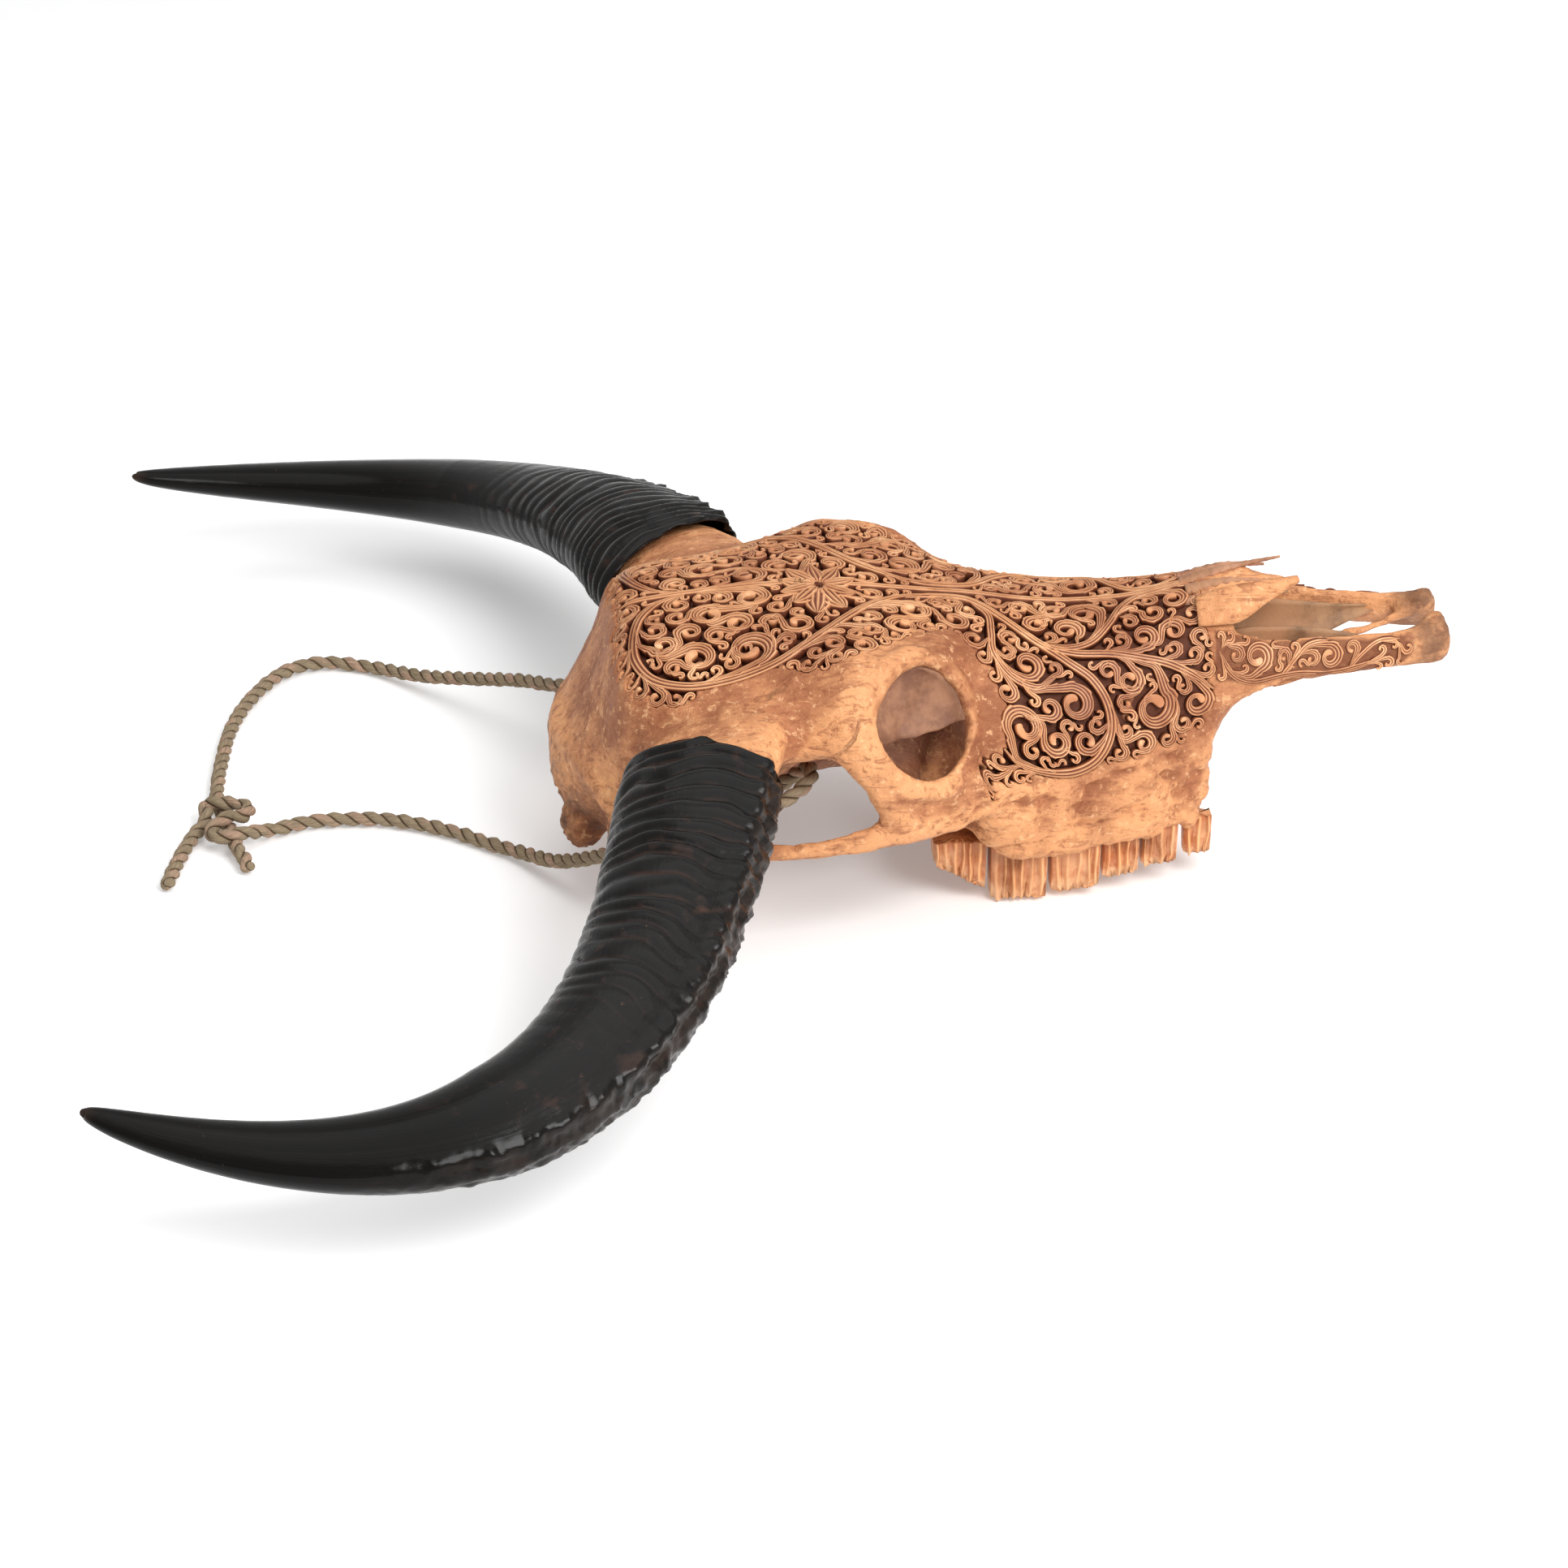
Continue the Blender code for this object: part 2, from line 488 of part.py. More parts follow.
def tooth(rear, front, outer, width, low_rear, low_front, ribs):
    """A tall ribbed tooth of the left row. Its worn inner half is flat, and its outer edge jagged."""
    shape = bmesh.new()
    inner = outer - width
    flat_edge = outer - 0.45 * width

    def low(x):
        return low_rear + (low_front - low_rear) * (x - rear) / (front - rear)

    def column(x, y, lift):
        return shape.verts.new((x, y, low(x) + lift)), shape.verts.new((x, y, TOOTH_ROOT_Z))

    outside, flats, inside = [], [], []
    count = 2 * ribs
    for i in range(count + 1):
        x = rear + (front - rear) * i / count
        rib = i % 2 == 0
        outside.append(column(x, outer if rib else outer - 0.0016, 0.0004 if rib else 0.0036))
        flats.append(shape.verts.new((x, flat_edge, low(x))))
    for i in range(count, -1, -2):
        x = rear + (front - rear) * i / count
        inside.append(column(x, inner + (0.0014 if i in (0, count) else 0.0), 0.0))
    round_it = outside + inside
    for (low_a, top_a), (low_b, top_b) in zip(round_it, round_it[1:] + round_it[:1]):
        ends = {low_a, low_b}
        if ends == {outside[-1][0], inside[0][0]}:
            shape.faces.new((low_a, flats[-1], low_b, top_b, top_a))
        elif ends == {inside[-1][0], outside[0][0]}:
            shape.faces.new((low_a, flats[0], low_b, top_b, top_a))
        else:
            shape.faces.new((low_a, low_b, top_b, top_a))
    for i in range(count):
        shape.faces.new((outside[i][0], outside[i + 1][0], flats[i + 1]))
        shape.faces.new((outside[i][0], flats[i + 1], flats[i]))
    shape.faces.new([v for v in flats] + [c[0] for c in inside])
    shape.faces.new([c[1] for c in round_it])
    bmesh.ops.triangulate(shape, faces=[f for f in shape.faces if len(f.verts) > 4])
    bmesh.ops.recalc_face_normals(shape, faces=shape.faces)
    return shape


def floor_block():
    """A slab just below the surface that the skull lies on, which cuts its feet flat."""
    block = bmesh.new()
    bmesh.ops.create_cube(block, size=1.0)
    bmesh.ops.scale(block, vec=(0.9, 0.9, 0.02), verts=block.verts)
    bmesh.ops.translate(block, vec=(0, 0, -0.01), verts=block.verts)
    return block


def tooth_grooves():
    """Cutters for the left row's sockets: one short groove in front and one long one behind."""
    grooves = []
    for group in (TEETH[:1], TEETH[1:]):
        stops = []
        for rear, front, outer, width, *_ in reversed(group):
            stops += [(rear, outer, width), (front, outer, width)]
        stops[0] = (stops[0][0] - SOCKET_GAP, *stops[0][1:])
        stops[-1] = (stops[-1][0] + SOCKET_GAP, *stops[-1][1:])
        rings = []
        for x, outer, width in stops:
            near, far = outer - width - SOCKET_GAP, outer + SOCKET_GAP
            high = TOOTH_ROOT_Z + SOCKET_GAP
            rings.append([Vector((x, near, 0)), Vector((x, far, 0)), Vector((x, far, high)),
                          Vector((x, near, high))])
        grooves.append(skin_rings(bmesh.new(), rings))
    return grooves


def build_teeth(material):
    for number, row in enumerate(TEETH, start=1):
        shape = tooth(*row)
        add_object("tooth_right_" + str(number), mirrored(shape), material)
        add_object("tooth_left_" + str(number), shape, material)


def rope_tube(name, route, material, start_gap=0.0):
    """A plain tube along the route, with its points spaced evenly on a smooth curve."""
    line = smooth_through([Vector(p) for p in route], 12)
    lengths = [0.0]
    for one, two in zip(line, line[1:]):
        lengths.append(lengths[-1] + (two - one).length)
    count = max(round((lengths[-1] - start_gap) / ROPE_STEP), 2)
    places = [start_gap + (lengths[-1] - start_gap) * k / count for k in range(count + 1)]
    curve = bpy.data.curves.new(name, "CURVE")
    curve.dimensions = "3D"
    curve.bevel_depth = ROPE_DIAMETER / 2
    curve.bevel_resolution = 2
    curve.use_fill_caps = True
    spline = curve.splines.new("POLY")
    spline.points.add(count)
    for point, place in zip(spline.points, places):
        i = max(k for k in range(len(line) - 1) if lengths[k] <= place + 1e-9)
        share = min((place - lengths[i]) / (lengths[i + 1] - lengths[i]), 1.0)
        point.co = (*line[i].lerp(line[i + 1], share), 1)
    curve.materials.append(material)
    rope = bpy.data.objects.new(name, curve)
    bpy.context.scene.collection.objects.link(rope)
    return rope


def build_rope(material):
    rope_tube("rope_near", NEAR_STRAND, material, FACE_GAP / 2)
    rope_tube("rope_far", FAR_STRAND, material, FACE_GAP / 2)
    rope_tube("rope_tail_long", LONG_TAIL, material)
    rope_tube("rope_tail_short", SHORT_TAIL, material)
    radius = ROPE_DIAMETER / 2
    strands = [sweep(route, [(radius, radius)] * len(route), side=(0, 0, 1), sides=10, steps=4)
               for route in KNOT_STRANDS]
    knot = add_object("rope_knot", joined(strands), material)
    tight = knot.modifiers.new("drawn tight", "REMESH")
    tight.mode = "VOXEL"
    tight.voxel_size = 0.0011
    even = knot.modifiers.new("blended", "SMOOTH")
    even.factor = 0.5
    even.iterations = 3
    fewer = knot.modifiers.new("fewer faces", "DECIMATE")
    fewer.ratio = 0.026


def main():
    clear_scene()
    build_skull(finish_material("bone", BONE, 0.6))
    horn = finish_material("horn", HORN_BLACK, 0.3)
    horn_sheath("horn_sheath_right", -1, horn)
    horn_sheath("horn_sheath_left", 1, horn)
    build_teeth(finish_material("tooth", TOOTH_CREAM, 0.45))
    build_rope(finish_material("rope", ROPE_STRAW, 0.9))


main()
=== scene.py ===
"""A carved water buffalo skull: openwork scrolls, black ridged horns, teeth and a rope."""

import math

import bmesh
import bpy
import numpy as np
from bpy.props import FloatProperty, FloatVectorProperty, PointerProperty
from bpy.types import Operator, Panel, PropertyGroup
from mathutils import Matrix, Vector, noise
from mathutils.bvhtree import BVHTree


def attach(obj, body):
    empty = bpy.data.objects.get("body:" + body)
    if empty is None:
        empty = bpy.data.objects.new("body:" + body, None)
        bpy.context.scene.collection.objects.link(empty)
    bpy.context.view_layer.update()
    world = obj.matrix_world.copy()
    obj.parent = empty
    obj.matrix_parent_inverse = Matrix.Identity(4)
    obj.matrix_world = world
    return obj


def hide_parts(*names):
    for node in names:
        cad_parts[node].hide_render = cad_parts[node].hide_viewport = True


bl_info = {
    "name": "Carved Buffalo Skull",
    "version": (1, 0, 0),
    "blender": (4, 5, 0),
    "location": "3D View > Sidebar > Skull",
    "description": "Models the scroll carving, horn sheaths, teeth and rope of a buffalo skull",
    "category": "Object",
}

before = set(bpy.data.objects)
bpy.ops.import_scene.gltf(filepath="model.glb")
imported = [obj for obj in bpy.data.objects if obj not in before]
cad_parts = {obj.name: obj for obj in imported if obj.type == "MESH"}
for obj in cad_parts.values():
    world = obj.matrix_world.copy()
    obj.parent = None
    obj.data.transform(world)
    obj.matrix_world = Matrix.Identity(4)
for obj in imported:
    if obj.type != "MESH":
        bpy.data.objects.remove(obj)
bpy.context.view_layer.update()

# The horn's centre line on the left side, with its half width, half thickness and twist
HORN_ROUTE = ((-0.039, 0.104, 0.109), (-0.077, 0.236, 0.103), (-0.068, 0.494, 0.005),
              (-0.344, 0.366, 0.069), (-0.346, 0.371, 0.072))
HORN_WIDE = (0.0445, 0.0375, 0.0310, 0.0170, 0.002)
HORN_THIN = (0.026, 0.025, 0.020, 0.011, 0.002)
HORN_TWIST = (19, -12, -6)
SHEATH_MOUTH = (-0.044, 0.1305, 0.1145)
SHEATH_FACING = (0.516, -0.857, 0.0)
SHEATH_WALL = 0.003

ORBIT_CENTRE = (0.0690, 0.0975, 0.1210)
ORBIT_FACING = (0.44, 0.75, 0.49)
ORBIT_RADIUS = 0.0300

# The camera: degrees round and up, the place that it looks at, metres and millimetres
VIEW_TURN, VIEW_RISE = -4.76, 26.64
VIEW_CENTRE, VIEW_DISTANCE = (0.006, 0, 0.040), 2.676
LENS, SENSOR = 115.83, 36.0

# The chart of the head: metres along it, degrees round it, and how near its skin counts as on it
CHART_STEP, CHART_TURN = 0.003, 2.0
SKIN_REACH = 0.004

# Each tooth is its rear x, front x, outer y, width, rear and front bottom z, and ribs
TEETH = (
    (0.2125, 0.2280, 0.0510, 0.0125, 0.0120, 0.0130, 3),
    (0.1890, 0.2090, 0.0590, 0.0150, 0.0100, 0.0120, 4),
    (0.1680, 0.1880, 0.0645, 0.0180, 0.0060, 0.0095, 4),
    (0.1400, 0.1670, 0.0695, 0.0205, 0.0010, 0.0045, 5),
    (0.1080, 0.1390, 0.0715, 0.0215, 0.0000, 0.0000, 6),
    (0.0780, 0.1070, 0.0700, 0.0210, 0.0210, 0.0045, 6),
)
TOOTH_ROOT_Z = 0.0365

# The rope's two strands, from under the braincase to the knot, then through it to its ends
NEAR_STRAND = ((-0.012, 0.000, 0.0375), (-0.012, -0.024, 0.0385), (-0.011, -0.049, 0.0540),
               (0.001, -0.065, 0.0740), (0.012, -0.078, 0.0880), (0.010, -0.092, 0.0860),
               (-0.012, -0.101, 0.0755), (-0.040, -0.100, 0.0700), (-0.068, -0.092, 0.0600),
               (-0.088, -0.078, 0.0440), (-0.102, -0.056, 0.0290), (-0.118, -0.030, 0.0150),
               (-0.135, -0.002, 0.0066), (-0.152, 0.014, 0.0046), (-0.169, 0.028, 0.0046),
               (-0.190, 0.040, 0.0046), (-0.212, 0.047, 0.0046), (-0.243, 0.047, 0.0046),
               (-0.264, 0.038, 0.0052))
FAR_STRAND = ((-0.012, 0.000, 0.0375), (-0.012, 0.024, 0.0385), (-0.011, 0.049, 0.0540),
              (0.001, 0.065, 0.0740), (0.012, 0.078, 0.0880), (0.010, 0.092, 0.0860),
              (-0.012, 0.101, 0.0755), (-0.040, 0.100, 0.0700), (-0.070, 0.099, 0.0620),
              (-0.103, 0.112, 0.0490), (-0.129, 0.146, 0.0370), (-0.156, 0.182, 0.0220),
              (-0.183, 0.212, 0.0106), (-0.210, 0.238, 0.0046), (-0.238, 0.247, 0.0046),
              (-0.261, 0.236, 0.0046), (-0.279, 0.203, 0.0046), (-0.290, 0.164, 0.0046),
              (-0.295, 0.118, 0.0046), (-0.2965, 0.088, 0.0046))
NEAR_THROUGH_KNOT = ((-0.2710, 0.0340, 0.0064), (-0.2820, 0.0240, 0.0105),
                     (-0.2930, 0.0215, 0.0100), (-0.2985, 0.0280, 0.0090),
                     (-0.2955, 0.0350, 0.0110), (-0.2880, 0.0400, 0.0130),
                     (-0.2810, 0.0410, 0.0125), (-0.2790, 0.0500, 0.0130),
                     (-0.2880, 0.0550, 0.0130), (-0.2970, 0.0575, 0.0125),
                     (-0.3025, 0.0600, 0.0095), (-0.3012, 0.0520, 0.0082),
                     (-0.3029, 0.0455, 0.0061))
FAR_THROUGH_KNOT = ((-0.2960, 0.0740, 0.0047), (-0.2920, 0.0540, 0.0048),
                    (-0.2880, 0.0360, 0.0047), (-0.2848, 0.0180, 0.0056),
                    (-0.2828, 0.0096, 0.0062))
LONG_TAIL = ((-0.3075, 0.0360, 0.0046), (-0.3124, 0.0196, 0.0045), (-0.3170, -0.0003, 0.0045),
             (-0.3211, -0.0219, 0.0045))
SHORT_TAIL = ((-0.2800, 0.0030, 0.0050), (-0.2785, -0.0060, 0.0045))

# The carving is drawn in millimetres: x along the head, and v round it from the midline.
CARVED_OUTLINE = ((-86, 0), (-88, 24), (-87, 42), (-86, 58), (-80, 78), (-70, 89), (-58, 93),
                  (-44, 92), (-34, 84), (-12, 83), (5, 87), (18, 92), (31, 90), (46, 81),
                  (60, 68), (74, 57), (88, 47), (96, 54), (105, 72), (112, 86), (110, 98),
                  (103, 114), (97, 126), (100, 136), (106, 139), (115, 127), (128, 122),
                  (142, 120), (159, 114), (170, 108), (184, 105), (197, 101), (209, 99),
                  (222, 92), (228, 78), (229, 62), (228, 44), (226, 32), (224, 16), (222, 0))
# The left side is carved further down over the eye: the points that differ, by their place
LEFT_OUTLINE = {13: (46, 87), 14: (60, 79), 15: (74, 70), 16: (88, 61), 17: (97, 66),
                18: (106, 78)}
# The stems that the scrolls grow from: width, and the route as x and v
STEMS = (
    (2.2, ((-82, 0), (-60, 0), (-35, 0), (-8, 0), (24, 0))),
    (2.0, ((26, 0), (60, 0), (100, 0), (150, 0), (190, 0), (219, 0))),
    (2.7, ((-46, 1), (-60, 7), (-70, 20), (-75, 38), (-75, 56), (-67, 72), (-50, 81), (-28, 81),
           (-6, 77), (9, 69), (21, 58), (31, 46), (42, 32), (54, 20), (68, 11), (84, 7))),
    (2.6, ((60, 14), (80, 8), (98, 8), (108, 14), (118, 26), (132, 41), (148, 53), (161, 62),
           (169, 75), (170, 90), (163, 104), (150, 112), (134, 114), (120, 112), (112, 106))),
    (2.3, ((124, 33), (136, 44), (152, 48), (174, 48), (197, 52), (214, 60), (226, 69))),
    (2.1, ((136, 44), (150, 45), (163, 40), (173, 28), (181, 14), (190, 5), (204, 2), (220, 2))),
    (2.1, ((102, 11), (110, 24), (110, 40), (110, 54), (118, 66), (131, 70), (141, 64))),
)
# Scrolls that are placed one by one: x, v and radius. The spaces left over fill themselves.
SCROLLS = ((-13, 14, 12), (-35, 29, 12), (-52, 27, 9), (-60, 50, 9.5), (-44, 63, 12),
           (-17, 62, 16), (-4, 41, 7), (3, 60, 9), (-27, 70, 8), (46, 57, 8), (70, 29, 12),
           (92, 14, 8), (92, 33, 10), (25, 70, 8), (26, 83, 6), (11, 84, 6), (38, 62, 6),
           (161, 18, 12), (145, 14, 9), (128, 13, 8), (127, 58, 10), (151, 76, 12),
           (124, 92, 14), (141, 97, 10), (157, 95, 8), (194, 76, 14), (210, 86, 8),
           (181, 62, 9), (201, 63, 9), (178, 88, 8), (190, 38, 9), (178, 40, 6),
           (208, 14, 9), (206, 36, 10), (216, 50, 6), (178, 74, 5), (117, 52, 6),
           (104, 58, 5), (105, 128, 6), (186, 18, 9))
# The low relief on the outer face of each muzzle bar: x along and z up
BAR_OUTLINE = ((226, 112), (226.5, 138), (240, 137), (255, 133.5), (270, 131), (291, 130),
               (318, 128), (332, 128), (336, 120), (330, 112), (318, 108.5), (295, 109.5),
               (270, 111), (250, 110))
BAR_STEMS = ((1.7, ((229, 128), (236, 116), (247, 111), (262, 113), (274, 113.5), (290, 112),
                    (304, 114), (318, 118))),
             (1.3, ((262, 113), (270, 122), (277, 128), (287, 129.5))),
             (1.2, ((298, 113), (306, 121), (315, 126), (326, 126))))
BAR_SCROLLS = ((249, 124, 9.5), (288, 121, 8.5), (310, 123, 5.5), (323, 123, 5), (269, 127, 4.5),
               (235, 134, 4), (268, 117, 3.4), (327, 114, 3))
# The flower's petals, from its middle: along x and across, with their half widths
FLOWER = (24.0, -3.0)
PETALS = ((-21, 4, 4.0), (-16, 18, 4.2), (-3, 23, 4.2), (11, 20, 4.2), (19, 8, 4.0),
          (18, -12, 4.4), (11, -30, 4.6), (-4, -36, 4.6), (-15, -24, 4.4), (-21, -11, 4.0))

# The broken flakes of the nose bones: three places on their route, half width and thickness
FLAKES = (((0.214, 0.003, 0.1480), (0.243, 0.003, 0.1565), (0.2665, 0.001, 0.1620), 0.0052, 0.0024),
          ((0.214, 0.012, 0.1460), (0.238, 0.012, 0.1530), (0.2600, 0.010, 0.1540), 0.0056, 0.0026),
          ((0.216, -0.007, 0.1480), (0.240, -0.006, 0.1525), (0.2640, -0.004, 0.1510), 0.0056,
           0.0026),
          ((0.214, -0.014, 0.1450), (0.240, -0.013, 0.1480), (0.2700, -0.009, 0.1460), 0.0050,
           0.0022))


def deselect():
    bpy.ops.object.select_all(action="DESELECT")


def link_object(name, mesh):
    made = bpy.data.objects.new(name, mesh)
    bpy.context.scene.collection.objects.link(made)
    return made


def make_mesh(name, verts, faces, material):
    """A smooth object from corner points and faces, with its faces turned outwards."""
    mesh = bpy.data.meshes.new(name)
    mesh.from_pydata([tuple(v) for v in verts], [], [tuple(f) for f in faces])
    mesh.materials.append(material)
    mesh.polygons.foreach_set("use_smooth", [True] * len(mesh.polygons))
    mesh.update()
    shape = bmesh.new()
    shape.from_mesh(mesh)
    bmesh.ops.recalc_face_normals(shape, faces=shape.faces)
    shape.to_mesh(mesh)
    shape.free()
    return link_object(name, mesh)


def tube_faces(rings, around):
    """The faces between closed rings of points that follow each other."""
    return [(i * around + k, i * around + (k + 1) % around, (i + 1) * around + (k + 1) % around,
             (i + 1) * around + k) for i in range(rings - 1) for k in range(around)]


def store_values(mesh, name, values):
    """Keeps one number for each point of the mesh, which its material can read."""
    layer = mesh.attributes.new(name, "FLOAT", "POINT")
    layer.data.foreach_set("value", np.asarray(values, dtype=np.float32))


def store_vectors(mesh, name, values):
    layer = mesh.attributes.new(name, "FLOAT_VECTOR", "POINT")
    layer.data.foreach_set("vector", np.asarray(values, dtype=np.float32).ravel())


def finish_piece(obj, slot, *nodes):
    """Hands a piece over: what it replaces and what it rides on. Its slot, the kind of its surface,
    is not used.
    """
    if nodes:
        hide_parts(*nodes)
    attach(obj, "root")


def mesh_points(mesh):
    points = np.zeros(len(mesh.vertices) * 3)
    mesh.vertices.foreach_get("co", points)
    return points.reshape(-1, 3)


def mesh_normals(mesh):
    normals = np.zeros(len(mesh.vertices) * 3, dtype=np.float32)
    mesh.vertices.foreach_get("normal", normals)
    return normals.reshape(-1, 3).astype(float)


def set_points(mesh, points):
    mesh.vertices.foreach_set("co", points.ravel())
    mesh.update()


def ramp(value, low, high):
    """0 below low, 1 above high, and a smooth rise between them."""
    share = np.clip((np.asarray(value, dtype=float) - low) / (high - low), 0, 1)
    return share * share * (3 - 2 * share)


def noise_at(points, scale, seed=0.0, octaves=2):
    """Smooth noise from -1 to 1 at each point."""
    shift = Vector((seed * 7.31, seed * 3.17, seed * 5.73))
    found = np.zeros(len(points))
    for i, p in enumerate(points):
        place = Vector(p) * scale + shift
        total, part = 0.0, 1.0
        for _ in range(octaves):
            total += part * noise.noise(place)
            place *= 2.1
            part *= 0.5
        found[i] = total
    return found


def step_lengths(points):
    """The distances from each point of a route to the next."""
    return np.linalg.norm(np.diff(points, axis=0), axis=1)


def directions(points):
    """The way that a route runs at each of its points."""
    ahead = np.gradient(points, axis=0)
    return ahead / np.maximum(np.linalg.norm(ahead, axis=1)[:, None], 1e-9)


def smooth_route(points, step):
    """Evenly spaced points on a smooth curve through the given ones."""
    given = np.asarray(points, dtype=float)
    ends = np.vstack([2 * given[0] - given[1], given, 2 * given[-1] - given[-2]])
    dense = []
    shares = np.linspace(0, 1, 16, endpoint=False)[:, None]
    for a, b, c, d in zip(ends, ends[1:], ends[2:], ends[3:]):
        dense.append(0.5 * (2 * b + (c - a) * shares + (2 * a - 5 * b + 4 * c - d) * shares ** 2
                            + (3 * b - a - 3 * c + d) * shares ** 3))
    dense = np.vstack([*dense, given[-1:]])
    lengths = np.concatenate([[0], np.cumsum(step_lengths(dense))])
    count = max(int(round(lengths[-1] / step)), 2)
    places = np.linspace(0, lengths[-1], count + 1)
    return np.stack([np.interp(places, lengths, dense[:, k]) for k in range(dense.shape[1])], 1)


class Graph:
    """Adds nodes to a material or a node group, and joins them."""

    def __init__(self, tree):
        self.tree = tree

    def give(self, socket, value):
        """Links a socket to what changes over the surface, or sets its own plain value."""
        if isinstance(value, bpy.types.NodeSocket):
            self.tree.links.new(value, socket)
        else:
            socket.default_value = value

    def add(self, kind, inputs=None, **settings):
        made = self.tree.nodes.new(kind)
        for name, value in settings.items():
            setattr(made, name, value)
        for key, value in (inputs or {}).items():
            self.give(made.inputs[key], value)
        return made

    def place(self):
        return self.add("ShaderNodeTexCoord").outputs["Object"]

    def value(self, name):
        """A number that the mesh keeps for each of its points."""
        return self.add("ShaderNodeAttribute", attribute_name=name).outputs["Fac"]

    def vector(self, name):
        return self.add("ShaderNodeAttribute", attribute_name=name).outputs["Vector"]

    def stretch(self, vector, scales):
        return self.add("ShaderNodeMapping", {"Vector": vector, "Scale": scales}).outputs[0]

    def noise(self, vector, scale, detail=4.0, rough=0.55, warp=0.0):
        inputs = {"Vector": vector, "Scale": scale, "Detail": detail, "Roughness": rough,
                  "Distortion": warp}
        return self.add("ShaderNodeTexNoise", inputs).outputs["Fac"]

    def span(self, value, low, high, to_low=0.0, to_high=1.0):
        return self.add("ShaderNodeMapRange", {"Value": value, "From Min": low, "From Max": high,
                                               "To Min": to_low, "To Max": to_high},
                        interpolation_type="SMOOTHSTEP").outputs["Result"]

    def math(self, operation, one, two, clamp=False):
        made = self.add("ShaderNodeMath", {0: one, 1: two}, operation=operation, use_clamp=clamp)
        return made.outputs["Value"]

    def times(self, one, two):
        return self.math("MULTIPLY", one, two)

    def plus(self, one, two, clamp=False):
        return self.math("ADD", one, two, clamp)

    def minus(self, one, two, clamp=False):
        return self.math("SUBTRACT", one, two, clamp)

    def mix(self, share, one, two):
        made = self.add("ShaderNodeMix", {0: share}, data_type="RGBA")
        for key, value in ((6, one), (7, two)):
            linked = isinstance(value, bpy.types.NodeSocket)
            self.give(made.inputs[key], value if linked else (*value[:3], 1.0))
        return made.outputs[2]

    def layers(self, colour, *coats):
        """Lays colours over the first. Each says where it shows, how strongly, and its colour."""
        for mask, share, coat in coats:
            colour = self.mix(self.times(mask, share), colour, coat)
        return colour

    def bump(self, height, distance, strength):
        return self.add("ShaderNodeBump", {"Height": height, "Distance": distance,
                                           "Strength": strength}).outputs["Normal"]


def new_material(name):
    made = bpy.data.materials.new(name)
    made.use_nodes = True
    return made, Graph(made.node_tree), made.node_tree.nodes["Principled BSDF"]


def join(graph, shader, **values):
    for name, value in values.items():
        graph.give(shader.inputs[name.replace("_", " ")], value)


def new_group(name, inputs, outputs):
    """A shader node group with named inputs, as (name, kind, default), and named outputs."""
    tree = bpy.data.node_groups.new(name, "ShaderNodeTree")
    for label, kind, default in inputs:
        made = tree.interface.new_socket(name=label, in_out="INPUT", socket_type=kind)
        if default is not None:
            made.default_value = default
    for label in outputs:
        tree.interface.new_socket(name=label, in_out="OUTPUT", socket_type="NodeSocketFloat")
    return tree, Graph(tree), tree.nodes.new("NodeGroupInput"), tree.nodes.new("NodeGroupOutput")


def bone_grain_group():
    """Mottling, pits and fine cracks of old dry bone."""
    known = bpy.data.node_groups.get("old bone grain")
    if known:
        return known
    tree, g, start, end = new_group(
        "old bone grain",
        [("Vector", "NodeSocketVector", None), ("Crack Size", "NodeSocketFloat", 16.0)],
        ("Mottle", "Blotch", "Cracks", "Height"))
    at = start.outputs["Vector"]
    mottle = g.noise(at, 52.0, 8.0, 0.66)
    blotch = g.noise(at, 13.0, 5.0, 0.6, 0.4)
    pits = g.noise(at, 420.0, 3.0, 0.7)
    wander = g.add("ShaderNodeTexNoise", {"Vector": at, "Scale": 30.0, "Detail": 5.0})
    bent = g.add("ShaderNodeVectorMath", {0: wander.outputs["Color"], 1: (0.018, 0.018, 0.018)},
                 operation="MULTIPLY").outputs["Vector"]
    moved = g.add("ShaderNodeVectorMath", {0: at, 1: bent}, operation="ADD").outputs["Vector"]
    cells = g.add("ShaderNodeTexVoronoi", {"Vector": moved, "Scale": start.outputs["Crack Size"]},
                  feature="DISTANCE_TO_EDGE")
    line = g.span(cells.outputs["Distance"], 0.004, 0.022, 1.0, 0.0)
    cracks = g.times(line, g.span(blotch, 0.60, 0.68))
    height = g.minus(g.plus(g.times(mottle, 0.8), g.times(pits, 0.25)), g.times(cracks, 0.8))
    for name, socket in (("Mottle", mottle), ("Blotch", blotch), ("Cracks", cracks),
                         ("Height", height)):
        tree.links.new(socket, end.inputs[name])
    return tree


def add_grain(graph, crack_size=16.0):
    """Places the bone grain in a material: the place that it reads, and its outputs."""
    at = graph.place()
    return at, graph.add("ShaderNodeGroup", {"Vector": at, "Crack Size": crack_size},
                         node_tree=bone_grain_group()).outputs


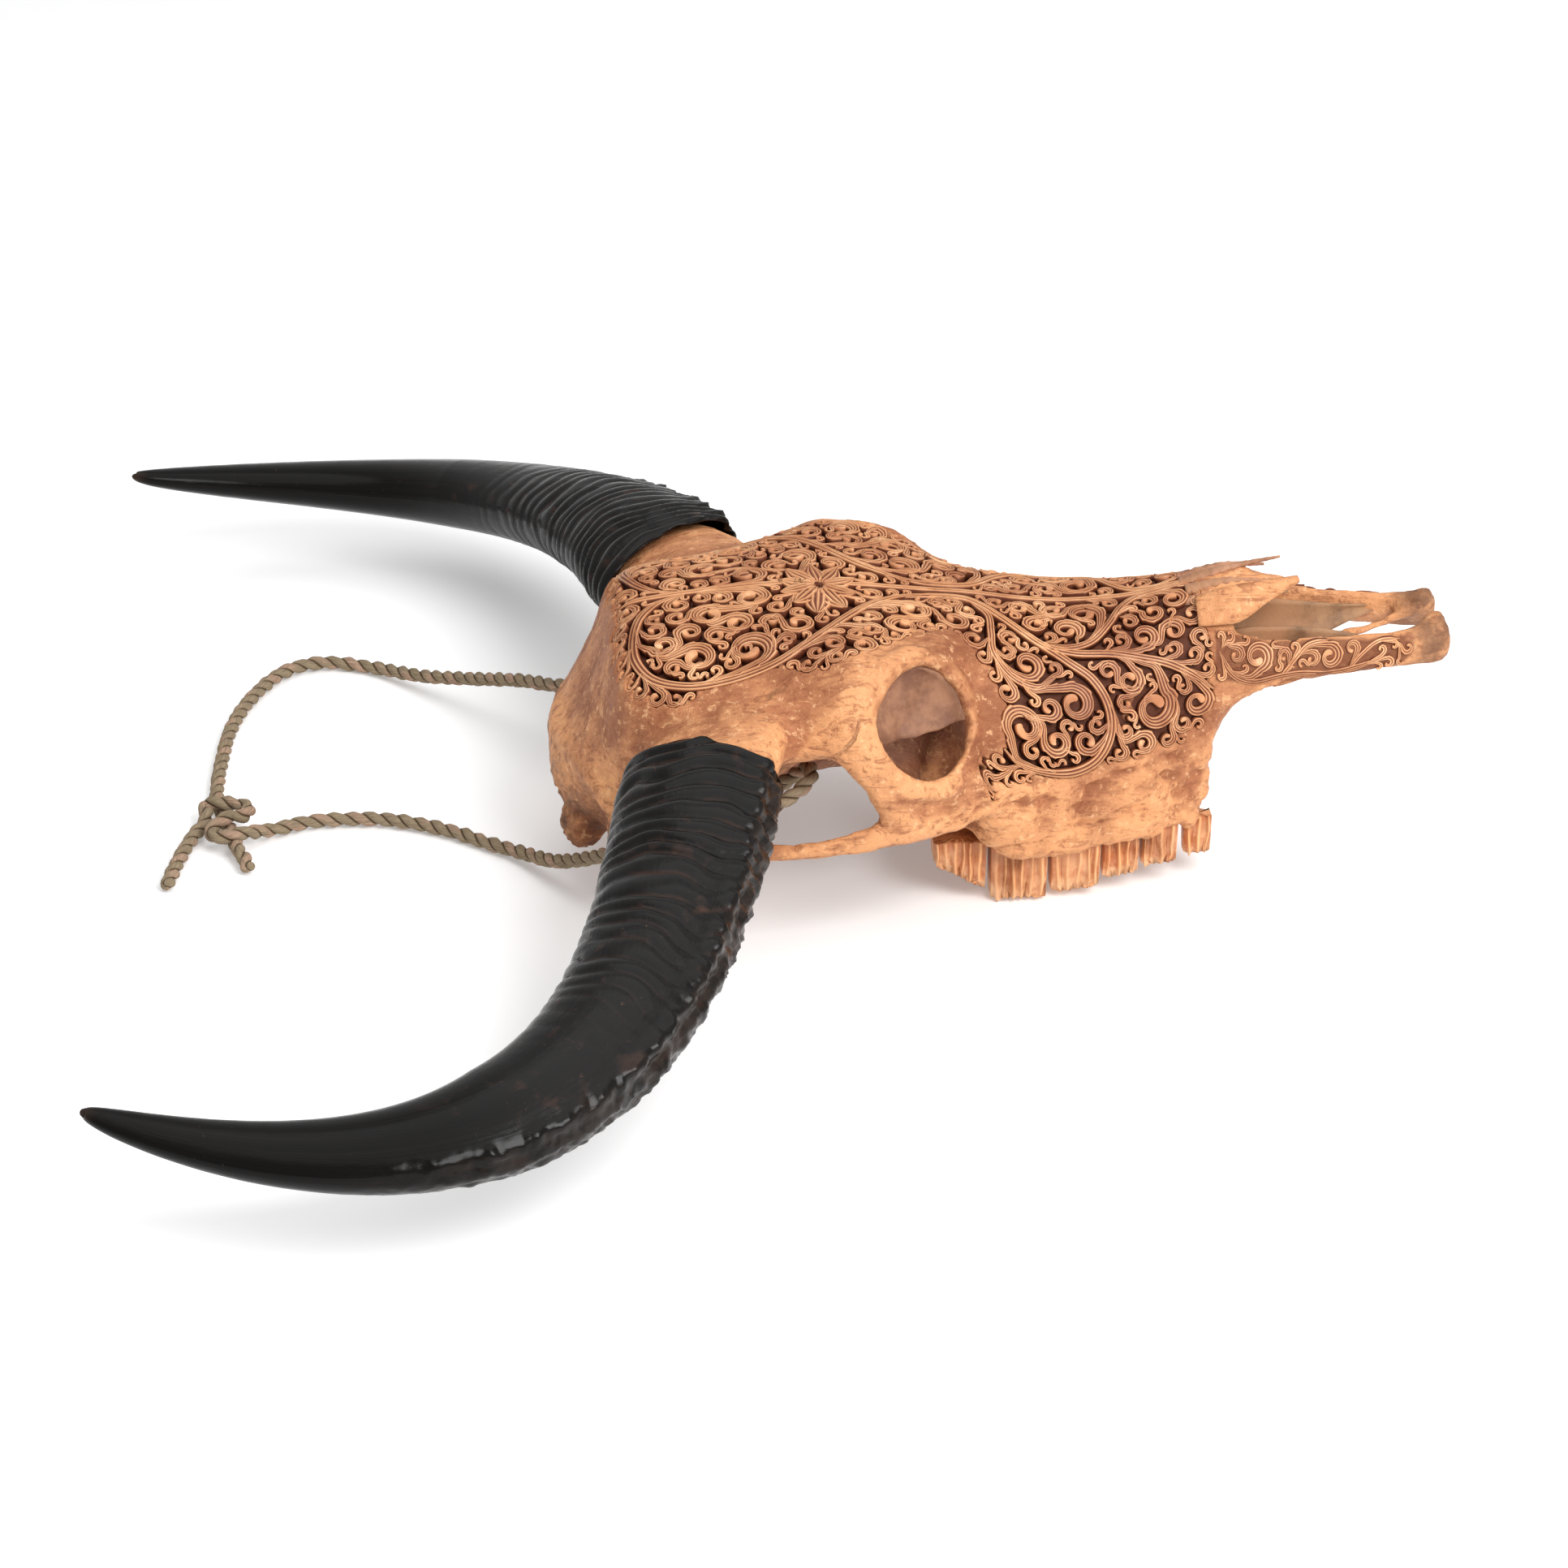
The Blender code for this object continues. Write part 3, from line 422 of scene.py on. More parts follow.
def bone_material(look):
    """Stained old bone, paler on what stands out, from wear and painted highlight, with painted
    shade in what lies deep.
    """
    made, g, shader = new_material("old bone")
    at, grain = add_grain(g)
    mottle, blotch = grain["Mottle"], grain["Blotch"]
    fibre = g.noise(g.stretch(at, (48.0, 210.0, 210.0)), 1.0, 5.0, 0.7, 0.6)
    freckle = g.noise(at, 210.0, 5.0, 0.68, 0.3)
    tint = g.span(g.plus(mottle, g.times(blotch, 0.8)), 0.68, 1.14)
    # Pale where the bone stands out, partly wear and partly painted highlight; what lies deep stays
    # dark as painted shade
    worn_and_lit = g.times(g.span(g.value("worn_and_lit"), 0.42, 0.85), g.span(blotch, 0.30, 0.62))
    patch = g.span(g.noise(at, 34.0, 7.0, 0.68, 0.6), 0.44, 0.72)
    stain = g.span(g.noise(at, 17.0, 6.0, 0.7, 1.2), 0.60, 0.74)
    # Painted shade colour for the inside of the eye sockets and the nose
    hollow_shade = g.mix(g.span(mottle, 0.35, 0.6), (0.13, 0.048, 0.026), (0.30, 0.135, 0.080))
    colour = g.mix(tint, look.dark_bone, look.bone)
    colour = g.mix(g.plus(worn_and_lit, g.times(patch, 0.55), True), colour, look.cream)
    colour = g.layers(
        colour,
        (stain, 0.55, (0.30, 0.115, 0.045)),
        # Painted shade on the surfaces that face down
        (g.value("under"), 0.45, (0.34, 0.15, 0.07)),
        # Painted shade deep in the eye sockets and the nose
        (g.value("hollow"), 0.85, hollow_shade),
        (g.span(fibre, 0.50, 0.66), 0.65, (0.255, 0.078, 0.030)),
        (g.span(fibre, 0.44, 0.30), 0.55, look.cream),
        (g.span(freckle, 0.54, 0.68), 0.62, (0.230, 0.066, 0.026)),
        (g.span(freckle, 0.45, 0.33), 0.60, (0.86, 0.49, 0.25)),
        (g.times(g.value("pitted"), g.span(mottle, 0.36, 0.62)), 0.85, (0.10, 0.042, 0.022)),
        (g.times(g.value("muzzle"), g.span(mottle, 0.32, 0.58)), 0.85, (0.150, 0.068, 0.036)),
        # Painted shade, the groove colour, on the ground of the muzzle bars' low relief, which is
        # not cut down
        (g.value("bar_ground_shade"), 0.8, look.groove),
        (grain["Cracks"], 0.55, (0.20, 0.072, 0.030)),
        # Painted shade: the dark recess colour on the cut-down ground between the scrolls
        (g.span(g.value("carved_ground_shade"), 0.25, 0.80), 1.0, look.recess))
    height = g.minus(g.plus(grain["Height"], g.times(fibre, -0.7)), g.times(freckle, 0.7))
    join(g, shader, Base_Color=colour, Roughness=g.span(mottle, 0.3, 0.7, 0.66, 0.50),
         Normal=g.bump(height, 0.0019, 0.9), Specular_IOR_Level=0.30)
    return made


def carved_material(look):
    """Old bone whose crests are painted pale with highlights and whose grooves and depths carry
    red-brown painted shade.
    """
    made, g, shader = new_material("carved bone")
    at, grain = add_grain(g)
    crest = g.value("crest")
    broad = g.span(g.noise(at, 15.0, 3.0, 0.5, 0.3), 0.36, 0.64)
    pale = g.layers(
        g.mix(g.plus(g.times(broad, 0.6), g.times(g.value("tone"), 0.4)), look.bone, look.cream),
        (g.span(grain["Mottle"], 0.42, 0.66), 0.35, look.dark_bone))
    uneven = g.plus(crest, g.times(g.minus(grain["Mottle"], 0.5), 0.7))
    colour = g.layers(
        # Painted shade in each band's grooves, and pale bone on its ridges
        g.mix(g.span(uneven, 0.46, 0.90), look.groove, pale),
        # Painted highlight on the highest crests
        (g.span(uneven, 0.86, 1.06), 0.8, (1.0, 0.62, 0.34)),
        # Painted shade, the recess colour, on the bands' sides down to the ground
        (g.span(crest, 0.30, 0.03), 1.0, look.recess))
    join(g, shader, Base_Color=colour, Roughness=g.span(crest, 0.2, 1.0, 0.70, 0.46),
         Normal=g.bump(grain["Height"], 0.0006, 0.4), Specular_IOR_Level=0.35)
    return made


def horn_material(look):
    """Black horn: polished at the point, and streaked and crusted brown towards the head."""
    made, g, shader = new_material("black horn")
    at, lay = g.place(), g.vector("lay")
    groove, rough_end = g.value("groove"), g.value("rough_end")
    streaks = g.noise(g.stretch(lay, (34.0, 1.3, 1.3)), 1.6, 7.0, 0.62, 0.3)
    lines = g.noise(g.stretch(lay, (3.0, 9.0, 9.0)), 2.0, 6.0, 0.6, 0.2)
    scratch = g.span(g.noise(g.stretch(lay, (9.0, 60.0, 60.0)), 1.4, 5.0, 0.7, 1.5), 0.66, 0.74)
    specks = g.span(g.noise(at, 260.0, 4.0, 0.7), 0.66, 0.74)
    dirt = g.times(g.times(groove, 0.55), g.span(g.noise(at, 40.0, 3.0), 0.42, 0.6))
    brown = g.math("MAXIMUM", g.times(g.span(streaks, 0.56, 0.70), rough_end), dirt)
    crust = g.times(g.value("crinkled"), g.span(g.noise(at, 90.0, 5.0, 0.7), 0.35, 0.6))
    marks = g.times(g.math("MAXIMUM", specks, g.times(scratch, 0.6)), 0.6)
    colour = g.layers(
        g.mix(g.span(lines, 0.35, 0.7), look.horn, (0.0044, 0.0034, 0.0029)),
        (brown, 0.7, look.horn_brown),
        # Greyer on the rough end, partly weathered horn and partly painted light on the ring
        # ridges; the ring valleys stay black as painted shade
        (g.minus(rough_end, groove, True), 0.5, (0.0062, 0.0053, 0.0049)),
        (crust, 0.8, (0.026, 0.0185, 0.0145)),
        (marks, g.span(g.noise(at, 16.0, 3.0), 0.44, 0.58), (0.120, 0.058, 0.034)),
        (g.value("tip"), 0.6, (0.050, 0.030, 0.020)))
    rough = g.plus(g.span(rough_end, 0.0, 1.0, 0.10, 0.21), g.times(g.span(lines, 0.3, 0.75), 0.10))
    height = g.plus(g.times(streaks, g.times(rough_end, 1.2)), g.times(lines, 0.25))
    join(g, shader, Base_Color=colour, Roughness=rough, Normal=g.bump(height, 0.0007, 0.55),
         Specular_IOR_Level=g.span(rough_end, 0.0, 1.0, 0.13, 0.21))
    return made


def tooth_material(look):
    """Enamel that is pale on its ribs and stained between them."""
    made, g, shader = new_material("stained enamel")
    at, grain = add_grain(g, 40.0)
    lines = g.noise(g.stretch(at, (420.0, 420.0, 26.0)), 1.0, 4.0, 0.6)
    rib = g.span(g.plus(g.value("rib"), g.times(lines, 1.3)), 0.62, 1.50)
    colour = g.layers(
        g.mix(rib, look.tooth_dark, look.tooth),
        (g.value("low"), g.span(grain["Mottle"], 0.35, 0.6), (0.80, 0.46, 0.24)),
        (g.span(grain["Blotch"], 0.58, 0.72), 1.0, (0.30, 0.11, 0.042)))
    join(g, shader, Base_Color=colour, Roughness=g.span(lines, 0.3, 0.7, 0.34, 0.5),
         Normal=g.bump(g.plus(lines, g.times(grain["Mottle"], 0.5)), 0.0004, 0.5))
    return made


def rope_material(look):
    """Two plies of straw in different colours, with painted shade where they meet."""
    made, g, shader = new_material("twisted straw")
    lay = g.vector("lay")
    fibres = g.noise(g.stretch(lay, (160.0, 7.0, 7.0)), 1.0, 6.0, 0.7, 0.6)
    slow = g.noise(g.stretch(lay, (40.0, 0.6, 0.6)), 1.0, 3.0, 0.5)
    colour = g.mix(g.value("ply"), look.straw_green, look.straw_pink)
    colour = g.mix(g.span(slow, 0.4, 0.62), colour, (0.36, 0.28, 0.185))
    colour = g.mix(g.span(fibres, 0.36, 0.62), g.mix(0.55, colour, (0.10, 0.065, 0.035)), colour)
    # Painted shade in the crease where the two plies meet
    colour = g.mix(g.span(g.value("crease"), 0.42, 0.06), colour, (0.085, 0.055, 0.030))
    join(g, shader, Base_Color=colour, Normal=g.bump(fibres, 0.0009, 0.8), Roughness=0.88,
         Specular_IOR_Level=0.15)
    return made


def twisted_rope(name, route, look, material):
    """Two plies laid round each other along the route, as one closed mesh."""
    step = 0.0010
    line = smooth_route(route, step)
    radius = look.diameter / 2
    line[:, 2] = np.maximum(line[:, 2], radius + 0.0001)
    ahead = directions(line)
    across = np.zeros_like(line)
    start = np.cross(ahead[0], (0, 0, 1.0))
    across[0] = start / np.linalg.norm(start)
    for i in range(1, len(line)):
        turned = across[i - 1] - ahead[i] * (across[i - 1] @ ahead[i])
        across[i] = turned / np.linalg.norm(turned)
    over = np.cross(ahead, across)
    sides = 20
    turns = np.arange(sides) * 2 * math.pi / sides
    lobes = 0.60 + 0.40 * np.abs(np.cos(turns)) ** 0.9
    rows, lays, plies, creases = [], [], [], []
    count = len(line)
    for i in range(count):
        along = i * step
        swing = 2 * math.pi * along / look.ply_pitch
        near_end = min(i, count - 1 - i) * step
        shrink = min(1.0, 0.35 + near_end / 0.0022)
        uneven = 1 + 0.04 * math.sin(along * 310) + 0.03 * math.sin(along * 1170)
        size = radius * lobes * shrink * uneven
        angle = turns + swing
        rows.append(line[i] + across[i] * (np.cos(angle) * size)[:, None]
                    + over[i] * (np.sin(angle) * size)[:, None])
        lays.append(np.stack([np.full(sides, along), np.cos(angle), np.sin(angle)], 1))
        plies.append((np.cos(turns) > 0).astype(float))
        creases.append(np.abs(np.cos(turns)))
    verts = np.vstack(rows)
    verts[:, 2] = np.maximum(verts[:, 2], 0.0)
    faces = tube_faces(count, sides)
    faces.append(tuple(range(sides))[::-1])
    faces.append(tuple((count - 1) * sides + k for k in range(sides)))
    rope = make_mesh(name, verts, faces, material)
    store_vectors(rope.data, "lay", np.vstack(lays))
    store_values(rope.data, "ply", np.concatenate(plies))
    store_values(rope.data, "crease", np.concatenate(creases))
    return rope, line[::3], float(step_lengths(line).sum())


def build_ropes(look):
    material = rope_material(look)
    runs = (
        ("rope_near_side", NEAR_STRAND + NEAR_THROUGH_KNOT + LONG_TAIL,
         ("rope_near", "rope_knot", "rope_tail_long")),
        ("rope_far_side", FAR_STRAND + FAR_THROUGH_KNOT + SHORT_TAIL,
         ("rope_far", "rope_tail_short")),
    )
    for name, route, nodes in runs:
        rope, path, length = twisted_rope(name, route, look, material)
        finish_piece(rope, "rope", *nodes)


def axis_height(x):
    """The height of the line inside the head that the carving is measured round."""
    return 0.088 + 0.085 * np.clip(x, 0.0, 0.35)


def read_table(table, xs, vs, x, v):
    """Reads a table at in-between places, straight between its rows and columns."""
    i = np.clip((np.asarray(x) - xs[0]) / (xs[1] - xs[0]), 0, len(xs) - 1.001)
    j = np.clip((np.asarray(v) - vs[0]) / (vs[1] - vs[0]), 0, len(vs) - 1.001)
    a, b = i.astype(int), j.astype(int)
    p, q = i - a, j - b
    if table.ndim == 3:
        p, q = p[..., None], q[..., None]
    return ((table[a, b] * (1 - p) + table[a + 1, b] * p) * (1 - q)
            + (table[a, b + 1] * (1 - p) + table[a + 1, b + 1] * p) * q)


def soften(table, times):
    """Evens a table out with its neighbours, and leaves its border as it is."""
    for _ in range(times):
        inner = table.copy()
        inner[1:-1] = (table[:-2] + 2 * table[1:-1] + table[2:]) / 4
        table = inner.copy()
        table[:, 1:-1] = (inner[:, :-2] + 2 * inner[:, 1:-1] + inner[:, 2:]) / 4
    return table


class Sheet:
    """A stretch of the bone's outside laid out flat, so that carving can be drawn on it."""

    def __init__(self, xs, vs, points, outward):
        self.xs, self.vs = xs, vs
        self.points = soften(points, 3)
        along = np.gradient(self.points, axis=0)
        across = np.gradient(self.points, axis=1)
        normals = np.cross(along, across) * outward
        normals /= np.maximum(np.linalg.norm(normals, axis=2)[..., None], 1e-12)
        self.normals = soften(normals, 4)

    def place(self, x, v, height):
        """Points in space for places on the sheet and heights over it."""
        point = read_table(self.points, self.xs, self.vs, x, v)
        normal = read_table(self.normals, self.xs, self.vs, x, v)
        normal /= np.linalg.norm(normal, axis=-1)[..., None]
        return point + normal * np.asarray(height)[..., None]


def head_sheet(tree):
    """The sheet round the head. It also keeps how far round each turn of the section comes."""
    xs = np.arange(-0.104, 0.2401, CHART_STEP)
    turns = np.radians(np.arange(0, 121, CHART_TURN))
    vs = np.arange(-0.150, 0.1501, 0.002)
    points = np.zeros((len(xs), len(vs), 3))
    reach = np.zeros((len(xs), 2, len(turns)))
    rounds = np.zeros((len(xs), 2, len(turns)))
    for i, x in enumerate(xs):
        height = float(axis_height(x))
        for half, side in enumerate((-1, 1)):
            radii, last = [], None
            for turn in turns:
                way = Vector((0, side * math.sin(turn), math.cos(turn)))
                hit = tree.ray_cast(Vector((x, 0, height)) + way * 0.3, -way, 0.3)
                if hit[0] is not None:
                    last = 0.3 - hit[3]
                radii.append(0.03 if last is None else last)
            radii = np.array(radii)
            flat = np.stack([np.sin(turns) * radii, np.cos(turns) * radii], 1)
            gone = np.concatenate([[0], np.cumsum(np.minimum(step_lengths(flat), 0.006))])
            reach[i, half], rounds[i, half] = radii, gone
            ours = vs <= 0 if side < 0 else vs >= 0
            v = np.abs(vs[ours])
            points[i, ours, 0] = x
            points[i, ours, 1] = side * np.interp(v, gone, flat[:, 0])
            points[i, ours, 2] = height + np.interp(v, gone, flat[:, 1])
    sheet = Sheet(xs, vs, points, 1)
    sheet.turns, sheet.reach, sheet.rounds = turns, reach, rounds
    return sheet


def inside_outline(outline, x, v):
    """Which places are inside a closed outline."""
    within = np.zeros(np.shape(x), dtype=bool)
    for (x0, v0), (x1, v1) in zip(outline, np.roll(outline, -1, axis=0)):
        crosses = (v0 > v) != (v1 > v)
        at = x0 + (v - v0) * (x1 - x0) / np.where(abs(v1 - v0) < 1e-12, 1e-12, v1 - v0)
        within ^= crosses & (x < at)
    return within


def outline_distance(outline, x, v, skip_midline=True):
    """How far places are from an outline, which may count only off the midline."""
    found = np.full(np.shape(x), 9.0)
    for (x0, v0), (x1, v1) in zip(outline, np.roll(outline, -1, axis=0)):
        if skip_midline and v0 == 0 and v1 == 0:
            continue
        dx, dv = x1 - x0, v1 - v0
        share = np.clip(((x - x0) * dx + (v - v0) * dv) / (dx * dx + dv * dv), 0, 1)
        found = np.minimum(found, np.hypot(x - x0 - share * dx, v - v0 - share * dv))
    return found


# Across a band, from edge to edge: how far over it is, and how high on a ridge it is
BAND_PROFILES = {
    1: ((-0.93, 0.2), (-0.5, 0.9), (0.0, 1.0), (0.5, 0.9), (0.93, 0.2)),
    2: ((-0.95, 0.3), (-0.58, 1.0), (-0.22, 0.75), (0.0, 0.0), (0.22, 0.75), (0.58, 1.0),
        (0.95, 0.3)),
    3: ((-0.96, 0.3), (-0.70, 1.0), (-0.36, 0.0), (0.0, 1.0), (0.36, 0.0), (0.70, 1.0),
        (0.96, 0.3)),
    4: ((-0.97, 0.3), (-0.77, 1.0), (-0.52, 0.0), (-0.26, 1.0), (0.0, 0.0), (0.26, 1.0),
        (0.52, 0.0), (0.77, 1.0), (0.97, 0.3)),
    5: ((-0.97, 0.3), (-0.80, 1.0), (-0.60, 0.0), (-0.40, 1.0), (-0.20, 0.0), (0.0, 1.0),
        (0.20, 0.0), (0.40, 1.0), (0.60, 0.0), (0.80, 1.0), (0.97, 0.3)),
}


# The number of ridges on a band, by its half width in millimetres
RIDGES_BY_WIDTH = ((0.75, 0.8, 1.5, 1.55, 2.8, 2.85, 4.0, 4.05), (1, 2, 2, 3, 3, 4, 4, 5))


def by_size(size, sizes, values):
    """Reads a value for a size in metres from a table in millimetres."""
    return float(np.interp(size * 1000, sizes, values))


class Ornament:
    """Carved bands laid out on one side of a sheet, each scroll in the largest space left."""

    def __init__(self, outline, cell=0.00075, closed=False):
        self.outline = np.asarray(outline, dtype=float) / 1000
        low, high = self.outline.min(0) - 0.004, self.outline.max(0) + 0.004
        self.cell, self.low = cell, low
        counts = np.ceil((high - low) / cell).astype(int)
        self.x = low[0] + cell * np.arange(counts[0])
        self.v = low[1] + cell * np.arange(counts[1])
        grid_x, grid_v = np.meshgrid(self.x, self.v, indexing="ij")
        self.grid_x, self.grid_v = grid_x, grid_v
        across = grid_v if closed else np.abs(grid_v)
        self.inside = inside_outline(self.outline, grid_x, across)
        self.edge = outline_distance(self.outline, grid_x, across, not closed)
        self.usable = self.inside if closed else self.inside & (grid_v > -0.0006)
        self.gap = np.full(grid_x.shape, 0.05)
        self.bands = []
        self.made_elsewhere = set()
        self.samples = np.zeros((0, 6))

    def add(self, points, widths, ridges=None, lift=0.0, tilt=0.0, ball=False):
        """Keeps a band, and takes what it covers out of the space for the next ones."""
        if ridges is None:
            ridges = int(by_size(widths.max(), *RIDGES_BY_WIDTH))
        self.bands.append((points, widths, ridges, lift, tilt, ball))
        place = np.stack([np.full(len(points), len(self.bands) - 1), np.arange(len(points))], 1)
        self.samples = np.vstack([self.samples, np.hstack([points, directions(points), place])])
        low = ((points.min(0) - 0.016 - self.low) / self.cell).astype(int)
        high = ((points.max(0) + 0.016 - self.low) / self.cell).astype(int) + 1
        a, b = np.maximum(low, 0)
        c, d = np.minimum(high, self.gap.shape)
        if a >= c or b >= d:
            return
        x, v = self.grid_x[a:c, b:d], self.grid_v[a:c, b:d]
        window = self.gap[a:c, b:d]
        for (px, pv), width in zip(points, widths):
            np.minimum(window, np.hypot(x - px, v - pv) - width, out=window)

    def clearance(self):
        """The radius that still fits at each place of the grid."""
        return np.where(self.usable, np.minimum(self.edge - 0.0004, self.gap), -1.0)

    def clearance_at(self, x, v):
        i = int(np.clip((x - self.low[0]) / self.cell, 0, self.gap.shape[0] - 1))
        j = int(np.clip((v - self.low[1]) / self.cell, 0, self.gap.shape[1] - 1))
        return min(self.edge[i, j] - 0.0004, self.gap[i, j]) if self.inside[i, j] else -1.0

    def stem(self, width, route, lift=0.0006):
        points = smooth_route(np.asarray(route, dtype=float) / 1000, 0.0011)
        share = np.linspace(0, 1, len(points))
        widths = width / 1000 * np.clip(np.minimum(share * 9 + 0.15, (1 - share) * 5 + 0.2), 0, 1)
        self.add(points, widths, None, lift)

    def scroll(self, x, v, radius, lift=0.0):
        """A leaf that runs along its stem, peels off, goes round the space and curls in."""
        radius = min(radius, self.clearance_at(x, v) + 0.0007)
        if radius < 0.0012:
            return
        centre = np.array([x, v])
        away = np.hypot(self.samples[:, 0] - x, self.samples[:, 1] - v)
        near = self.samples[away.argmin()]
        start = math.atan2(near[1] - v, near[0] - x)
        hand = 1 if near[2] * -math.sin(start) + near[3] * math.cos(start) > 0 else -1
        half = radius * by_size(radius, (1.5, 3, 6, 12), (0.40, 0.36, 0.30, 0.25))
        sweep = math.radians(by_size(radius, (1.8, 3.2, 5, 9), (190, 270, 345, 430)))
        shrink = by_size(radius, (1.8, 4, 8), (0.45, 0.64, 0.77))
        parent, parent_widths = self.bands[int(near[4])][:2]
        at = int(near[5])
        stay = int(0.55 * radius / 0.001)
        back = max(at - int(2.1 * radius / 0.001) - 2, 0)
        tail = []
        if at - stay > back:
            places = np.linspace(back, at - stay, 4).astype(int)
            for share, k in zip((0.0, 0.33, 0.66, 1.0), places):
                ahead = parent[min(k + 1, len(parent) - 1)] - parent[max(k - 1, 0)]
                aside = np.array([-ahead[1], ahead[0]]) / max(float(np.hypot(*ahead)), 1e-9)
                aside *= 1 if aside @ (centre - parent[k]) > 0 else -1
                tail.append(parent[k] + aside * share * (0.85 * parent_widths[k] + 0.45 * half))
        outer = max(radius - half * 0.90, 0.3 * radius)
        turn = np.linspace(math.radians(12), sweep, max(int(math.degrees(sweep) / 17), 7))
        reach = outer * (1 - shrink * (turn / sweep) ** 1.15)
        way = start + hand * turn
        curl = centre + np.stack([np.cos(way), np.sin(way)], 1) * reach[:, None]
        if not tail:
            tail = [near[:2] * 0.7 + curl[0] * 0.3]
        points = smooth_route(np.vstack([np.array(tail), curl]), 0.00085)
        share = np.linspace(0, 1, len(points))
        first = float(step_lengths(np.vstack([np.array(tail), curl[:1]])).sum())
        rest = float(step_lengths(curl).sum())
        begin = first / (first + rest)
        widths = half * (0.20 + 0.80 * ramp(share, 0.0, begin + 0.16))
        widths *= 1 - 0.48 * ramp(share, begin + 0.18, 0.93)
        widths += np.exp(-((share - 0.955) / 0.042) ** 2) * (0.045 * radius + 0.00010)
        widths[-1] *= 0.35
        widths[-2] *= 0.8
        self.add(points, widths, None, lift, -0.25 * hand, True)

    def fill(self, least=0.0027, most=0.0115, limit=900):
        """Sets scroll after scroll in the largest space, down to the least radius."""
        for _ in range(limit):
            room = self.clearance()
            best = int(room.argmax())
            i, j = np.unravel_index(best, room.shape)
            size = float(room[i, j])
            if size < least:
                return
            self.scroll(self.x[i], self.v[j], min(size, most), -0.0004 if size < 0.003 else 0.0)
            if size > most or self.clearance_at(self.x[i], self.v[j]) >= size * 0.8:
                self.gap[i, j] = min(self.gap[i, j], size * 0.3)

    def ground(self):
        """Where the bone is cut down: among the bands, but not outside the outermost ones."""
        clear = (self.gap > 0.0012) & ~(self.inside & (self.edge > 0.0065))
        spread, last = ~self.inside & clear, -1
        while spread.sum() != last:
            last = spread.sum()
            spread = widen(spread) & clear
        free = widen(widen(spread))
        return soften(((self.inside & ~free) | (self.gap < 0.0001)).astype(float), 1)

    def recess(self, x, v):
        """How far the ground is cut away at a place: 1 inside, 0 outside the carving."""
        table = self.ground()
        out = (x < self.x[0]) | (x > self.x[-1]) | (v < self.v[0]) | (v > self.v[-1])
        return np.where(out, 0.0, ramp(read_table(table, self.x, self.v, x, v), 0.25, 0.75))


def widen(marks):
    """Spreads a yes-or-no table to its neighbours."""
    grown = marks.copy()
    grown[1:] |= marks[:-1]
    grown[:-1] |= marks[1:]
    grown[:, 1:] |= marks[:, :-1]
    grown[:, :-1] |= marks[:, 1:]
    return grown


def bands_to_mesh(name, sheet, ornament, side, depth, material, seed, raised=0.0):
    """One mesh of all the bands. Each is closed, and its sides go down to the ground."""
    rng = np.random.default_rng(seed)
    verts, faces, crests, tones = [], [], [], []
    base = 0
    for number, (points, widths, ridges, lift, tilt, ball) in enumerate(ornament.bands):
        if number in ornament.made_elsewhere:
            continue
        count = len(points)
        profile = np.array(BAND_PROFILES[ridges])
        over = np.concatenate([[-1.0], profile[:, 0], [1.0]])
        ridge = np.concatenate([[0.0], profile[:, 1], [0.0]])
        wall = np.zeros(len(over), dtype=bool)
        wall[0] = wall[-1] = True
        tangents = directions(points)
        left = np.stack([-tangents[:, 1], tangents[:, 0]], 1)
        share = np.linspace(0, 1, count)
        w = widths[:, None]
        groove = np.minimum(0.0012, 0.42 * w)
        fade = 1 - ramp(share, 0.86, 0.95) if ball else np.ones(count)
        dome = 0.28 * w * np.abs(over) ** 2.3
        height = lift + raised - dome - groove * (1 - ridge) * fade[:, None] + tilt * over * w
        if ball:
            height += (np.exp(-((share - 0.95) / 0.05) ** 2) * 0.0006)[:, None]
        height -= (1 - ramp(share, 0.0, 0.12))[:, None] * 0.0009
        height = np.where(wall, -depth(points[:, 0])[:, None], height)
        wide = w * np.ones(len(over))
        if ball and w.max() > 0.0011:
            notch = np.clip((share - 0.20) / 0.40 * 4, 0, 4)
            lobe = np.where((notch > 0) & (notch < 4), (notch % 1.0) ** 1.4 - 0.25, 0.0)[:, None]
            wide = wide * (1 + np.where(over * np.sign(tilt) > 0.6, 0.42 * lobe, 0.0))
        x = points[:, :1] + left[:, :1] * over * wide
        v = points[:, 1:] + left[:, 1:] * over * wide
        per = len(over)
        verts.append(sheet.place(x.ravel(), side * v.ravel(), height.ravel()))
        # crest: 0 on the sides, where the material paints shade, up to 1 on the ridge tops, which
        # it paints pale with a highlight
        crest = np.where(wall, 0.0, 0.40 + 0.60 * ridge) * np.ones((count, 1))
        crest = np.where(wall, 0.0, crest * fade[:, None] + (1 - fade[:, None]) * 0.9)
        crests.append(crest.ravel())
        tones.append(np.full(count * per, rng.random()))
        i = np.arange(count - 1)[:, None] * per + base
        k = np.arange(per)[None, :]
        n = (k + 1) % per
        quads = np.stack([i + k, i + n, i + per + n, i + per + k], -1).reshape(-1, 4)
        faces.extend(map(tuple, quads.tolist()))
        faces.append(tuple(range(base + per - 1, base - 1, -1)))
        faces.append(tuple(range(base + (count - 1) * per, base + count * per)))
        base += count * per
    made = make_mesh(name, np.vstack(verts), faces, material)
    store_values(made.data, "crest", np.concatenate(crests))
    store_values(made.data, "tone", np.concatenate(tones))
    return made


